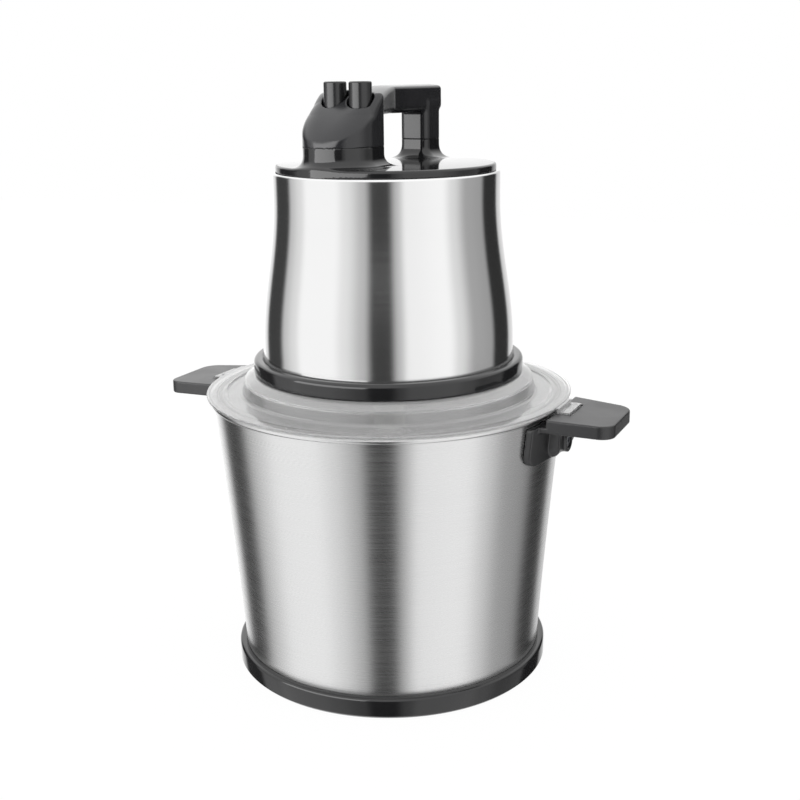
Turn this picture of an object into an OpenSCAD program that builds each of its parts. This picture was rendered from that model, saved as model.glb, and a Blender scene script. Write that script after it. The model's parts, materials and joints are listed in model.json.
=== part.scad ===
// Electric food chopper: a steel bowl on a foot ring with two side handles, a clear lid, a blade unit on
// the bowl's centre spindle, and a motor head with a carrying handle and two push buttons.
// Millimetres, +Z up, origin at the middle of the foot ring's underside, side handles along X.

/* [Bowl] */
// Height of the bowl's rim above the table
bowl_height = 220; // [200:1:240]
// Outer radius of the bowl's wall at its foot
bowl_foot_r = 119.6; // [112:0.1:121]
// Outer radius of the bowl's wall under its bead
bowl_mouth_r = 137.2; // [134:0.1:140]
// Thickness of the bowl's sheet
bowl_wall = 1.2; // [0.8:0.1:1.6]
// Radius of the corner between the bowl's wall and floor
bowl_corner_r = 8; // [5:0.5:12]
// Radius of the rolled bead at the rim
bead_r = 2; // [1.6:0.1:2.6]
// Height of the floor's underside above the table
floor_lift = 8; // [8:0.5:12]

/* [Foot ring] */
// Width of the foot ring beyond the foot of the bowl's wall
foot_overhang = 5.9; // [4.9:0.1:10]
// Height of the foot ring
foot_height = 16; // [14:0.5:22]
// Width of the ledge that the bowl's floor stands on
foot_ledge = 12; // [8:1:20]

/* [Spindle] */
// Radius of the spindle that the blade unit turns on
spindle_r = 6; // [5:0.1:6.5]
// Height of the spindle's tip above the bowl's floor
spindle_height = 51; // [40:1:60]
// Radius of the stud below the spindle
stud_r = 4; // [3.5:0.1:4.5]
// Height of the spindle's boss
boss_height = 6; // [4:0.5:8]
// Radius of the spindle's boss
boss_r = 13; // [11:0.5:13.5]

/* [Side handles] */
// Reach of the side handles beyond the bowl's wall
handle_length = 51; // [44:0.2:61]
// Depth of the handles' top face below the bowl's rim
handle_drop = 1.3; // [1.2:0.1:4]
// Fall of the top face towards the tip
handle_droop = 2.4; // [0:0.1:4]
// Thickness of the handle's plate
handle_thick = 10; // [8:0.5:12]
// Half width of the handle beside the bowl
handle_root_half = 36.9; // [32:0.1:40]
// Half width of the handle at its tip
handle_tip_half = 30.9; // [26:0.1:34]
// Radius of the handle's outer corners
handle_corner_r = 11; // [6:0.5:14]
// Half width of the handle's foot against the bowl
handle_foot_half = 20; // [18:0.5:24]
// Half width of the pad that lies against the bowl's wall
pad_half = 46; // [40:0.5:52]
// Thickness of the pad
pad_thick = 5; // [4:0.5:8]
// Radius of the screw's boss
handle_boss_r = 9; // [8:0.5:12]
// Depth of the handle's foot below the plate
handle_foot_drop = 26; // [24:0.5:32]

/* [Lid] */
// Width of the lid's rim beyond the bowl's wall
lid_overhang = 5.4; // [4.8:0.1:6.8]
// Thickness of the lid's wall
lid_wall = 3; // [2:0.1:3.2]
// Height of the rim band above the bowl's rim
lid_band_rise = 2.9; // [2.6:0.1:4]
// Height of the raised middle above the bowl's rim
lid_rise = 17.2; // [14:0.1:22]
// Distance from the bowl's wall in to the step of the lid
lid_step_inset = 24.2; // [21:0.1:29]
// Width of the sloping shoulder round the raised middle
lid_shoulder = 8; // [4:0.5:12]
// Fall of the shoulder from the lid's top to its step
lid_shoulder_drop = 4.7; // [3:0.1:7]
// Radius of the hole in the middle of the lid
lid_hole_r = 45; // [40:0.5:60]
// Half width of the lid's tabs
tab_half = 15.5; // [12:0.5:18]
// Length of the lid's tabs beyond the lid's rim
tab_length = 10; // [7.4:0.1:15]
// Depth of the tabs below the handles' top face
tab_drop = 5; // [3:0.5:7]

/* [Head] */
// Turn of the head on the lid against the side handles, in degrees
head_turn = -7; // [-30:1:30]
// Outer radius of the black ring at the head's foot
head_ring_r = 105; // [102:0.5:108]
// Height of the black ring
head_ring_height = 11.8; // [10:0.1:14]
// Radius of the steel sleeve at its foot
sleeve_foot_r = 97.2; // [95:0.1:99]
// Radius of the steel sleeve at its top
sleeve_top_r = 86.4; // [84:0.1:90]
// Height of the steel sleeve's top above the head's underside
sleeve_height = 153; // [148:0.5:160]
// Thickness of the sleeve's sheet
sleeve_wall = 1; // [0.8:0.1:1.5]
// Distance from the sleeve's top in to the edge of the glossy top plate
plate_inset = 3.1; // [2.6:0.1:5]
// Thickness of the top plate at its edge
plate_thick = 5.4; // [4:0.1:7]
// Rise of the top plate's crown
plate_crown = 1.2; // [0:0.1:2]

/* [Head handle] */
// Shift of the handle to the left of the head's axis
handle_shift = -5; // [-8:0.5:0]
// Half width of the dome
dome_half = 27.5; // [26:0.5:30]
// Place of the dome's front
dome_front = -80; // [-80:0.5:-76]
// Place of the dome's back face
dome_back = -36; // [-38:0.5:-34]
// Height of the dome above the top plate
dome_height = 54; // [52:0.5:58]
// Height of the parting line above the top plate
parting_height = 14.9; // [12:0.1:18]
// Wall of the dome
dome_wall = 2.5; // [2:0.1:2.5]
// Half width of the grip
grip_half = 12.5; // [10:0.5:14]
// Depth of the grip from its top to its underside
grip_depth = 20.5; // [17:0.5:22]
// Height of the grip's top above the top plate
grip_height = 56.6; // [55:0.1:60]
// Front face of the post
post_front = 50.3; // [46:0.5:54]
// Back face of the post
post_back = 72.7; // [68:0.5:74]
// Spread of the flared feet on the plate
foot_flare = 5; // [3:0.5:6]

/* [Buttons] */
// Radius of the push buttons
button_r = 8.4; // [7:0.1:8.5]
// Shift of the buttons to the right of the handle's middle
button_shift = 2.4; // [0:0.1:2.6]
// Distance between the buttons' centres
button_pitch = 21.6; // [20.8:0.2:24]
// Place of the buttons along the handle
button_y = -47; // [-49:0.5:-47]
// Height of the buttons' tops above the top plate
button_height = 60.1; // [57:0.1:62]
// Travel of the buttons
button_travel = 4; // [2:0.5:5]
// Width of the moat round each button
button_moat = 1.5; // [1:0.1:2]

/* [Blades] */
// Reach of the blades from the spindle
blade_reach = 110; // [90:1:114]
// Thickness of the blades
blade_thick = 2; // [1.2:0.1:3]
// Width of the ground edge
blade_bevel = 3; // [1:0.5:5]
// Height of the spacer between the blades
blade_gap = 40; // [25:1:50]
// Downward tilt of the lower blade, in degrees
lower_tilt = 4; // [0:0.5:4]
// Upward tilt of the upper blade, in degrees
upper_tilt = 12; // [0:0.5:16]
// Radius of the blade hub
hub_r = 14; // [13:0.1:15]

/* [Gearbox] */
// Module of the gear teeth
gear_module = 1.25; // [1.1:0.05:1.3]
// Teeth on the motor's pinion
sun_teeth = 12;
// Teeth on each planet gear
planet_teeth = 24;
// Number of planet gears
planet_count = 3;
// Height of the gears
gear_height = 14; // [10:0.5:15]
// Radius of the output shaft
output_r = 7; // [6:0.1:7.4]
// Width across the flats of the output hexagon
hex_flats = 12; // [10:0.5:12]

/* [Motor] */
// Radius of the motor shaft
shaft_r = 5; // [4:0.1:5.2]
// Radius of the armature
armature_r = 25; // [22:0.5:27]
// Height of the armature and stator cores
core_height = 44; // [36:1:46]
// Outer radius of the stator core
stator_r = 47; // [45:0.5:50]
// Radius of the cooling fan
fan_r = 34; // [28:1:35]
// Number of the fan's vanes
fan_vanes = 11; // [7:1:15]

// Thickness of the stator's yoke behind the coils
yoke_thick = 9; // [7:0.5:10]
// Angle from the middle of a pole window to its edge
window_half = 28; // [22:1:30]
// Radius of the upper bearing
upper_bearing_r = 11; // [9:0.5:12]
// Radius of the commutator
commutator_r = 14; // [12:0.5:15]
// Length of the commutator
commutator_length = 14; // [12:0.5:16]
// Width of a carbon brush
brush_width = 7; // [5:0.5:8]
// Height of a carbon brush
brush_height = 8; // [5:0.5:9]
// Length of a carbon brush
brush_length = 16; // [10:0.5:17]
// Half width of the bridge's arms
bridge_half = 7; // [6:0.5:9]
// Thickness of the bridge
bridge_thick = 4; // [3:0.5:5]

/* [Clearances] */
// Gap between pieces that lift or slide apart
lift_gap = 0.3; // [0.2:0.05:0.4]
// Radial gap of a shaft in its bore
run_gap = 0.05; // [0.02:0.01:0.08]
// Radial gap of pieces that are fixed in each other
fix_gap = 0.05; // [0.02:0.01:0.1]
// Gap round the buttons in their guides
button_gap = 0.3; // [0.2:0.05:0.4]
// Play between two gear teeth
gear_play = 0.2; // [0.15:0.01:0.3]

/* [Hidden] */
$fn = 96;
floor_top = floor_lift + bowl_wall;
foot_r = bowl_foot_r + foot_overhang;
bead_mid_r = bowl_mouth_r - bowl_wall + bead_r;
bead_out_r = bead_mid_r + bead_r;
seal_thick = 1;
boss_top = floor_top + seal_thick + boss_height;
spindle_top = floor_top + spindle_height;
washer_thick = 1.2;
nut_thick = 4.8;

handle_in_r = bead_out_r + 0.6;
handle_reach = bowl_mouth_r + handle_length;
handle_top = bowl_height - handle_drop;
handle_under = handle_top - handle_thick;
handle_foot_low = handle_under - handle_foot_drop;
screw_z = handle_under - handle_foot_drop / 2 - 1;
handle_boss_x = bead_out_r + 8.5;
screw_seat_x = handle_boss_x - 4;
anchor_x = bead_out_r + 2;

lid_under = bowl_height + lift_gap;
lid_lip = bowl_height + 1.3;
lid_flat = lid_lip + 0.3;
lid_band = bowl_height + lid_band_rise;
lid_top = bowl_height + lid_rise;
skirt_low = bowl_height - 9;
lid_r = bowl_mouth_r + lid_overhang;
tab_reach = lid_r + tab_length;
tab_in = lid_r + 0.35;
tab_top = lid_lip - 0.7;
tab_low = handle_top - tab_drop;
lid_step_r = bowl_mouth_r - lid_step_inset;
lid_seam_r = bowl_mouth_r - lid_step_inset / 2;
skirt_r = bowl_r(skirt_low) - bowl_wall - lift_gap - 0.6;

head_low = lid_top + lift_gap;
head_ring_top = head_low + head_ring_height;
sleeve_low = head_ring_top - 2;
sleeve_top = head_low + sleeve_height;
plate_top = sleeve_top + plate_thick;
spigot_r = lid_hole_r - lift_gap;
parting = plate_top + parting_height;
dome_top = plate_top + dome_height;
grip_top = plate_top + grip_height;
grip_low = grip_top - grip_depth;
dome_mid = dome_front + dome_half;
web_end = dome_back + 33;
moat_r = button_r + button_moat;
well_low = grip_low - 0.6;
moat_floor = well_low + 3.6;
button_top = plate_top + button_height;
flange_r = button_r + 1.2;
flange_top = well_low - button_gap;
flange_low = flange_top - 2.6;
ledge_wall = dome_wall + 1.5;
bracket_top = parting + 2.5;
grommet_z = plate_top + 7.4;

base_top = head_low + 8.5;
bush_low = head_low + 5.5;
bush_top = base_top + 6;
bush_r = output_r + 4;
carrier_low = bush_top + lift_gap;
carrier_top = carrier_low + 5;
gear_low = carrier_top + lift_gap;
gear_top = gear_low + gear_height;
ring_teeth = sun_teeth + 2 * planet_teeth;
orbit_r = gear_module * (sun_teeth + planet_teeth) / 2;
ring_out_r = gear_module * ring_teeth / 2 + 5.4;
carrier_r = orbit_r + 8;
pin_r = 3;
pin_top = gear_top + 1.4;
case_top = pin_top + 3;
motor_base_top = case_top + 4;
bearing_r = 13;
bearing_height = 8;
fan_low = motor_base_top + 8;
core_low = fan_low + 18;
core_top = core_low + core_height;
commutator_low = core_top + 9;
commutator_top = commutator_low + commutator_length;
holder_in = commutator_r + 3;
brush_low = commutator_low + 3;
motor_top = commutator_top + 2;
post_ring_r = stator_r - 6;
coil_out_r = stator_r - yoke_thick;
bridge_boss_r = upper_bearing_r + 4;
bridge_disc_r = armature_r + 1;
bridge_end = post_ring_r + 6;
shaft_top = motor_top + 11;
plate_r = sleeve_top_r - plate_inset;
tie_ring_r = plate_r - 12;
tie_boss_low = sleeve_top - 8;

hex_low = bowl_height - 1;
hex_top = head_low - 4;
hub_low = boss_top + lift_gap;
hub_top = bowl_height + 12;
blade_low = hub_low + 4;
upper_low = blade_low + blade_thick + blade_gap;
hub_neck_r = hub_r - 2;

// Outer radius of the bowl's wall at a height
function bowl_r(z) = bowl_foot_r + (bowl_mouth_r - bowl_foot_r)
    * pow((z - floor_lift) / (bowl_height - floor_lift), 1.2);

// Outer radius of the steel sleeve at a share of its height, from 0 at the foot to 1 at the top
function sleeve_r(share) = sleeve_top_r + (sleeve_foot_r - sleeve_top_r)
    * (0.5 + 0.5 * cos(180 * min(1, max(0, (share - 0.08) / 0.8))));

// Points on an arc
function arc(x, y, r, from, to, steps = 6) = [
    for (i = [0:steps]) [x + r * cos(from + (to - from) * i / steps), y + r * sin(from + (to - from) * i / steps)]
];

// Centre of the circle of radius r through two points, on the right of the way from p to q
function arc_centre(p, q, r) = let (
    d = q - p,
    half = norm(d) / 2,
    lift = sqrt(r * r - half * half)
) (p + q) / 2 + lift * [d[1], -d[0]] / norm(d);

// Places a piece in the head's own frame
module on_head() {
    rotate([0, 0, head_turn]) children();
}

// Copies a piece to both sides of the bowl
module both_sides() {
    for (turn = [0, 180]) rotate([0, 0, turn]) children();
}

// Ring or tube with a true bore
module tube(low, high, inner, outer) {
    translate([0, 0, low]) difference() {
        cylinder(h = high - low, r = outer);
        translate([0, 0, -1]) cylinder(h = high - low + 2, r = inner);
    }
}

// Solid of the bowl's outside, grown by a gap
module bowl_outside(gap) {
    steps = 10;
    span = bowl_height - floor_lift;
    rotate_extrude() polygon(concat(
        [[0, floor_lift]],
        [for (i = [0:steps]) [bowl_r(floor_lift + span * i / steps) + gap, floor_lift + span * i / steps]],
        [[0, bowl_height]]
    ));
}

// Outline of the bowl's wall from the floor's corner to the bead, inset by the sheet's thickness
function bowl_side(inset) = let (
    low = floor_lift + bowl_corner_r,
    high = bowl_height - bead_r,
    corner = bowl_r(low) - bowl_corner_r
) concat(
    arc(corner, low, bowl_corner_r - inset, -90, 0),
    [for (i = [1:9]) [bowl_r(low + (high - low) * i / 9) - inset, low + (high - low) * i / 9]]
);

module bowl_shell() {
    outside = bowl_side(0);
    inside = bowl_side(bowl_wall);
    color("silver") rotate_extrude() difference() {
        union() {
            polygon(concat(
                [[stud_r + 0.1, floor_top], [stud_r + 0.1, floor_lift]],
                outside,
                [for (i = [len(inside) - 1:-1:0]) inside[i]]
            ));
            translate([bead_mid_r, bowl_height - bead_r]) circle(r = bead_r, $fn = 32);
        }
    }
}

module foot_ring() {
    seat_r = bowl_r(foot_height) + fix_gap;
    color("#202020") rotate_extrude() polygon(concat(
        [[seat_r - foot_ledge, 0], [foot_r - 2, 0], [foot_r, 2]],
        arc(foot_r - 3, foot_height - 3, 3, 0, 90, 4),
        [[seat_r, foot_height], [seat_r, floor_lift], [seat_r - foot_ledge, floor_lift]]
    ));
}

module bowl_spindle() {
    low = floor_lift - washer_thick - nut_thick;
    seat = floor_top + seal_thick;
    color("lightgray") rotate_extrude() polygon([
        [0, low], [stud_r - 0.5, low], [stud_r, low + 0.5], [stud_r, seat], [boss_r, seat],
        [boss_r, boss_top - 1], [boss_r - 1, boss_top], [spindle_r, boss_top],
        [spindle_r, spindle_top - 2], [spindle_r - 2, spindle_top], [0, spindle_top]
    ]);
}

module spindle_seal() {
    color("#505050") tube(floor_top, floor_top + seal_thick, stud_r + fix_gap, boss_r - 1);
}

module spindle_washer() {
    color("silver") tube(floor_lift - washer_thick, floor_lift, stud_r + fix_gap, boss_r - 2);
}

module spindle_nut() {
    low = floor_lift - washer_thick - nut_thick;
    color("silver") translate([0, 0, low]) difference() {
        cylinder(h = nut_thick, r = stud_r + 3.5, $fn = 6);
        translate([0, 0, -1]) cylinder(h = nut_thick + 2, r = stud_r + fix_gap);
    }
}

// Plan of one side handle, on the +X side
function handle_plan() = concat(
    [[handle_in_r - 30, -handle_root_half], [handle_in_r + 2, -handle_root_half]],
    arc(handle_reach - handle_corner_r, -handle_tip_half + handle_corner_r, handle_corner_r, -82, 0),
    arc(handle_reach - handle_corner_r, handle_tip_half - handle_corner_r, handle_corner_r, 0, 82),
    [[handle_in_r + 2, handle_root_half], [handle_in_r - 30, handle_root_half]]
);

// Side view of the handle's plate, with its top face falling towards the tip
function handle_side() = let (
    slope = handle_droop / (handle_reach - handle_in_r),
    inner = handle_in_r - 30,
    rise = slope * 30
) [
    [inner, handle_under + rise], [inner, handle_top + rise], [handle_reach, handle_top - handle_droop],
    [handle_reach, handle_under - handle_droop + 1], [handle_reach - 1, handle_under - handle_droop]
];

module handle_body() {
    wide = 2 * handle_root_half + 2;
    foot_x = bead_out_r + 7;
    pocket_low = bowl_height - 2 * bead_r - 3;
    difference() {
        union() {
            intersection() {
                linear_extrude(height = handle_top + 5) polygon(handle_plan());
                rotate([90, 0, 0]) translate([0, 0, -wide / 2]) linear_extrude(height = wide) polygon(handle_side());
            }
            intersection() {
                rotate([90, 0, 90]) linear_extrude(height = handle_reach) polygon(concat(
                    [[handle_foot_half, handle_under + 1], [-handle_foot_half, handle_under + 1]],
                    arc(-handle_foot_half + 12, handle_foot_low + 12, 12, 180, 270),
                    arc(handle_foot_half - 12, handle_foot_low + 12, 12, 270, 360)
                ));
                rotate([90, 0, 0]) translate([0, 0, -wide / 2]) linear_extrude(height = wide) polygon(concat(
                    [[handle_in_r - 30, handle_foot_low]],
                    arc(foot_x - 12, handle_foot_low + 12, 12, 270, 360),
                    [[foot_x, handle_under - 9]],
                    arc(foot_x + 9, handle_under - 9, 9, 180, 90),
                    [[foot_x + 9, handle_under + 1], [handle_in_r - 30, handle_under + 1]]
                ));
            }
            intersection() {
                bowl_outside(pad_thick);
                rotate([90, 0, 90]) linear_extrude(height = handle_reach) polygon(concat(
                    [[pad_half, pocket_low - 0.4], [-pad_half, pocket_low - 0.4]],
                    arc(-pad_half + 10, handle_foot_low + 10, 10, 180, 270),
                    arc(pad_half - 10, handle_foot_low + 10, 10, 270, 360)
                ));
            }
            translate([bead_out_r - 4, 0, screw_z]) rotate([0, 90, 0])
                cylinder(h = handle_boss_x - bead_out_r + 4, r = handle_boss_r);
        }
        bowl_outside(fix_gap);
        translate([0, -100, pocket_low]) cube([handle_in_r + 0.8, 200, 20]);
        tab_pocket();
        bracket_room(fix_gap);
        translate([bead_out_r, 0, screw_z]) rotate([0, 90, 0]) cylinder(h = 30, r = 2.5 + fix_gap);
        translate([screw_seat_x, 0, screw_z]) rotate([0, 90, 0]) cylinder(h = 30, r = 6);
    }
}

// Pocket in the handle's inner edge for the lid's tab
module tab_pocket() {
    half = tab_half + 3 * lift_gap;
    translate([handle_in_r - 31, -half, handle_top - tab_drop - 1])
        cube([tab_reach + 3 * lift_gap - handle_in_r + 31, 2 * half, tab_drop + 10]);
}

// Welded plate with a threaded boss, and the room it takes in the handle's foot
module bracket_room(gap) {
    high = 18 + 2 * gap;
    wide = 24 + 2 * gap;
    intersection() {
        bowl_outside(2.5 + gap);
        translate([bowl_foot_r, -wide / 2, screw_z - high / 2]) cube([40, wide, high]);
    }
    translate([bowl_foot_r + 5, 0, screw_z]) rotate([0, 90, 0]) cylinder(h = anchor_x - bowl_foot_r - 5 + gap, r = 5 + gap);
}

module handle_brackets() {
    color("silver") both_sides() difference() {
        bracket_room(0);
        bowl_outside(0);
        translate([bowl_r(screw_z) + 4, 0, screw_z]) rotate([0, 90, 0]) cylinder(h = 20, r = 2.5 + fix_gap);
    }
}

module handle_right() {
    color("#2b2b2b") handle_body();
}

module handle_left() {
    color("#2b2b2b") rotate([0, 0, 180]) handle_body();
}

module handle_screws() {
    low = bowl_r(screw_z) + 4;
    color("silver") both_sides() translate([low, 0, screw_z]) rotate([0, 90, 0]) difference() {
        union() {
            cylinder(h = screw_seat_x - low, r = 2.5);
            translate([0, 0, screw_seat_x - low]) cylinder(h = 3, r = 5.2);
        }
        translate([0, 0, screw_seat_x - low + 1]) cylinder(h = 3, r = 2.2, $fn = 6);
    }
}

// Clear lid, in two solids that meet at the foot of its step: here the raised middle with its hole
module lid_cover() {
    shoulder = lid_top - lid_shoulder_drop;
    color([0.85, 0.88, 0.9, 0.5]) rotate_extrude() polygon(concat(
        [[lid_hole_r, lid_top - lid_wall], [lid_hole_r, lid_top], [lid_step_r - lid_shoulder, lid_top]],
        arc(lid_step_r - 2, shoulder - 2, 2, 60, 5, 4),
        arc(lid_step_r + 4.5, lid_flat + 3, 3, 185, 270, 4),
        [[lid_seam_r, lid_flat], [lid_seam_r, lid_flat - lid_wall], [lid_step_r + 4.6 - lid_wall, lid_flat - lid_wall]],
        [[lid_step_r + 1.6 - lid_wall, lid_flat + 1], [lid_step_r + 0.1 - lid_wall, shoulder - 2.6]],
        [[lid_step_r - lid_shoulder - 0.3 * lid_wall, lid_top - lid_wall]]
    ));
}

// Outer solid of the lid: flat annulus, rim band over the bowl's bead, skirt with a groove, and two tabs
module lid_rim() {
    color([0.85, 0.88, 0.9, 0.5]) union() {
        rotate_extrude() polygon(concat(
            [[lid_seam_r, lid_flat - lid_wall], [lid_seam_r, lid_flat]],
            [[lid_seam_r + 1, lid_flat], [lid_seam_r + 2, lid_band - 0.4], [lid_seam_r + 3, lid_band]],
            arc(lid_r - 1.2, lid_band - 1.2, 1.2, 90, 0, 4),
            [[lid_r, lid_lip], [lid_r - 2, lid_lip], [lid_r - 3, lid_under], [skirt_r, lid_under]],
            [[skirt_r, skirt_low + 6], [skirt_r - 1.2, skirt_low + 6], [skirt_r - 1.2, skirt_low + 2]],
            [[skirt_r, skirt_low + 2], [skirt_r, skirt_low], [skirt_r - 3, skirt_low]],
            [[skirt_r - 3, lid_flat - lid_wall]]
        ));
        both_sides() {
            translate([lid_r - 4, -tab_half, lid_lip]) cube([6, 2 * tab_half, lid_band - lid_lip - 0.4]);
            translate([tab_in, -tab_half, tab_low]) cube([2, 2 * tab_half, lid_band - 0.7 - tab_low]);
            translate([tab_in, -tab_half, tab_low]) cube([tab_reach - tab_in, 2 * tab_half, tab_top - tab_low]);
        }
    }
}

module lid_seal() {
    color("#dddddd") tube(skirt_low + 2, skirt_low + 6, skirt_r - 1.2, skirt_r + 0.5);
}

module blade_hub() {
    socket_low = hex_low - 1;
    color("#e8e8e8") difference() {
        rotate_extrude() polygon([
            [0, hub_low], [hub_r + 3, hub_low], [hub_r + 3, blade_low], [hub_r, blade_low],
            [hub_r, upper_low + 12], [hub_neck_r, upper_low + 18], [hub_neck_r, hub_top - 28],
            [hub_r - 0.2, hub_top - 22], [hub_r - 0.2, hub_top - 1], [hub_r - 1.2, hub_top], [0, hub_top]
        ]);
        translate([0, 0, hub_low - 1]) cylinder(h = spindle_top + 1 - hub_low + 1, r = spindle_r + run_gap);
        on_head() translate([0, 0, socket_low]) cylinder(h = hub_top, r = (hex_flats / 2 + lift_gap) / cos(30), $fn = 6);
    }
}

// One curved wing of a blade along +X, with its leading edge ground to a bevel
module blade_wing() {
    lead = arc_centre([8, 15], [blade_reach + 2, 6], 85);
    trail = arc_centre([8, -12], [blade_reach + 2, 0], 85);
    difference() {
        intersection() {
            translate([lead[0], lead[1], 0]) cylinder(h = blade_thick, r1 = 85, r2 = 85 - blade_bevel);
            cylinder(h = blade_thick, r = blade_reach);
            translate([hub_r - 8, -50, 0]) cube([blade_reach, 100, blade_thick]);
        }
        translate([trail[0], trail[1], -1]) cylinder(h = blade_thick + 2, r = 85);
    }
}

module blade(low, tilt) {
    bend = hub_r + 4;
    translate([0, 0, low]) difference() {
        union() {
            cylinder(h = blade_thick, r = bend + 2);
            both_sides() translate([bend, 0, 0]) rotate([0, -tilt, 0]) translate([-bend, 0, 0]) blade_wing();
        }
        translate([0, 0, -6]) cylinder(h = blade_thick + 12, r = hub_r + fix_gap);
        translate([0, 0, tilt > 0 ? -10 : blade_thick]) cylinder(h = 10, r = bend + 2);
    }
}

module blade_lower() {
    color("silver") blade(blade_low, -lower_tilt);
}

module blade_upper() {
    color("silver") rotate([0, 0, 90]) blade(upper_low, upper_tilt);
}

module blade_spacer() {
    color("#e8e8e8") tube(blade_low + blade_thick, upper_low, hub_r + fix_gap, hub_r + 3);
}

module blade_nut() {
    low = upper_low + blade_thick;
    color("#e8e8e8") translate([0, 0, low]) difference() {
        cylinder(h = 8, r = hub_r + 3, $fn = 8);
        translate([0, 0, -1]) cylinder(h = 10, r = hub_r + fix_gap);
    }
}

module head_ring() {
    inner = sleeve_foot_r - sleeve_wall - 1;
    color("#1c1c1c") rotate_extrude() polygon(concat(
        [[inner - 5, head_low], [head_ring_r - 1, head_low], [head_ring_r, head_low + 1]],
        arc(head_ring_r - 4, head_ring_top - 4, 4, 0, 70, 4),
        [[sleeve_foot_r + 1.4, head_ring_top], [sleeve_foot_r + fix_gap, head_ring_top - 1.2]],
        [[sleeve_foot_r + fix_gap, sleeve_low], [inner, sleeve_low], [inner, head_low + 3.5]],
        [[inner - 5, head_low + 3.5]]
    ));
}

module base_plate() {
    edge = sleeve_foot_r - sleeve_wall - 1 - fix_gap;
    bush_room = bush_r + fix_gap;
    color("#303030") on_head() difference() {
        rotate_extrude() polygon([
            [bush_room, head_low + 2.5], [24, head_low + 2.5], [24, head_low], [spigot_r - 4.7, head_low],
            [spigot_r - 4.7, head_low - 7], [spigot_r, head_low - 7], [spigot_r, head_low],
            [edge - 5, head_low], [edge - 5, head_low + 3.5], [edge, head_low + 3.5], [edge, base_top],
            [bush_r + 9, base_top], [bush_r + 5, bush_top], [bush_room, bush_top]
        ]);
        tie_places() {
            translate([0, 0, head_low - 1]) cylinder(h = 5.5, r = 5.4);
            translate([0, 0, head_low]) cylinder(h = 20, r = 2.6);
        }
    }
}

// Polished sleeve with a rolled shoulder and an inward flange under the top plate
module steel_sleeve() {
    steps = 24;
    span = sleeve_top - 2 - sleeve_low;
    outside = [for (i = [0:steps]) [sleeve_r(i / steps), sleeve_low + span * i / steps]];
    color("#d8d8d8") rotate_extrude() polygon(concat(
        outside,
        arc(sleeve_top_r - 2, sleeve_top - 2, 2, 15, 90, 4),
        [[plate_r - 3, sleeve_top], [plate_r - 3, sleeve_top - sleeve_wall]],
        arc(sleeve_top_r - 2, sleeve_top - 2, 2 - sleeve_wall, 90, 15, 3),
        [for (i = [steps:-1:0]) [outside[i][0] - sleeve_wall, outside[i][1]]]
    ));
}

// Places of the three long bolts that hold the head together
module tie_places() {
    for (turn = [30, 150, 270]) rotate([0, 0, turn]) translate([0, tie_ring_r, 0]) children();
}

module tie_bolts() {
    color("silver") on_head() tie_places() {
        translate([0, 0, head_low + 1]) cylinder(h = 3.5, r = 5);
        translate([0, 0, head_low + 4]) cylinder(h = sleeve_top - head_low - 4.5, r = 2.5);
    }
}

// Plan of the dome: a half round front and straight sides up to its back face
module dome_plan(inset) {
    half = dome_half - inset;
    translate([handle_shift, 0]) polygon(concat(
        arc(0, dome_mid, half, 180, 360, 24),
        arc(half - 3, dome_back - 3 - inset, 3, 0, 90, 4),
        arc(-half + 3, dome_back - 3 - inset, 3, 90, 180, 4)
    ));
}

// Side view of the dome's top: level behind the buttons, then falling to the upright front
function dome_side(inset) = [
    [dome_front + inset, plate_top - 20], [dome_front + inset, plate_top + 12], [dome_front + 1 + inset, plate_top + 20],
    [dome_front + 3.5 + inset, plate_top + 27], [dome_front + 8 + inset, plate_top + 32.5 - inset / 2],
    [dome_front + 14, plate_top + 37 - inset], [dome_front + 24, plate_top + 43.5 - inset],
    [dome_front + 32, dome_top - 5.5 - inset], [dome_front + 38, dome_top - 2.2 - inset],
    [dome_back, dome_top - inset], [web_end, dome_top - inset], [web_end, plate_top - 20]
];

// Front view of the dome: upright sides with rounded shoulders
function dome_section(inset) = concat(
    [[dome_half - inset, plate_top - 20], [dome_half - inset, dome_top - 24]],
    arc(dome_half - 14 - inset, dome_top - 16, 14, -10, 90, 8),
    arc(-dome_half + 14 + inset, dome_top - 16, 14, 90, 190, 8),
    [[-dome_half + inset, dome_top - 24], [-dome_half + inset, plate_top - 20]]
);

// Dome as the part that its plan, side view and front view share
module dome_solid(inset) {
    intersection() {
        translate([0, 0, plate_top - 10]) linear_extrude(height = dome_height + 20) dome_plan(inset);
        rotate([90, 0, 90]) translate([0, 0, -50]) linear_extrude(height = 100) polygon(dome_side(inset));
        translate([handle_shift, 0, 0]) rotate([90, 0, 0]) translate([0, 0, 10])
            linear_extrude(height = 90) polygon(dome_section(inset));
    }
}

// Web from the dome's back to the grip: concave in plan, under the dome's shoulder line
module grip_web() {
    spread = dome_half - 5 - grip_half;
    reach = web_end - dome_back;
    intersection() {
        translate([handle_shift, 0, grip_low]) linear_extrude(height = dome_top - grip_low) polygon(concat(
            [[-grip_half - spread, dome_back - 4], [grip_half + spread, dome_back - 4]],
            [for (a = [0:10:90]) [grip_half + spread * (1 - sin(a)), dome_back + reach * (1 - cos(a))]],
            [for (a = [90:-10:0]) [-grip_half - spread * (1 - sin(a)), dome_back + reach * (1 - cos(a))]]
        ));
        translate([handle_shift, 0, 0]) rotate([90, 0, 0]) translate([0, 0, -web_end - 1])
            linear_extrude(height = 90) polygon(dome_section(0));
    }
}

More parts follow.
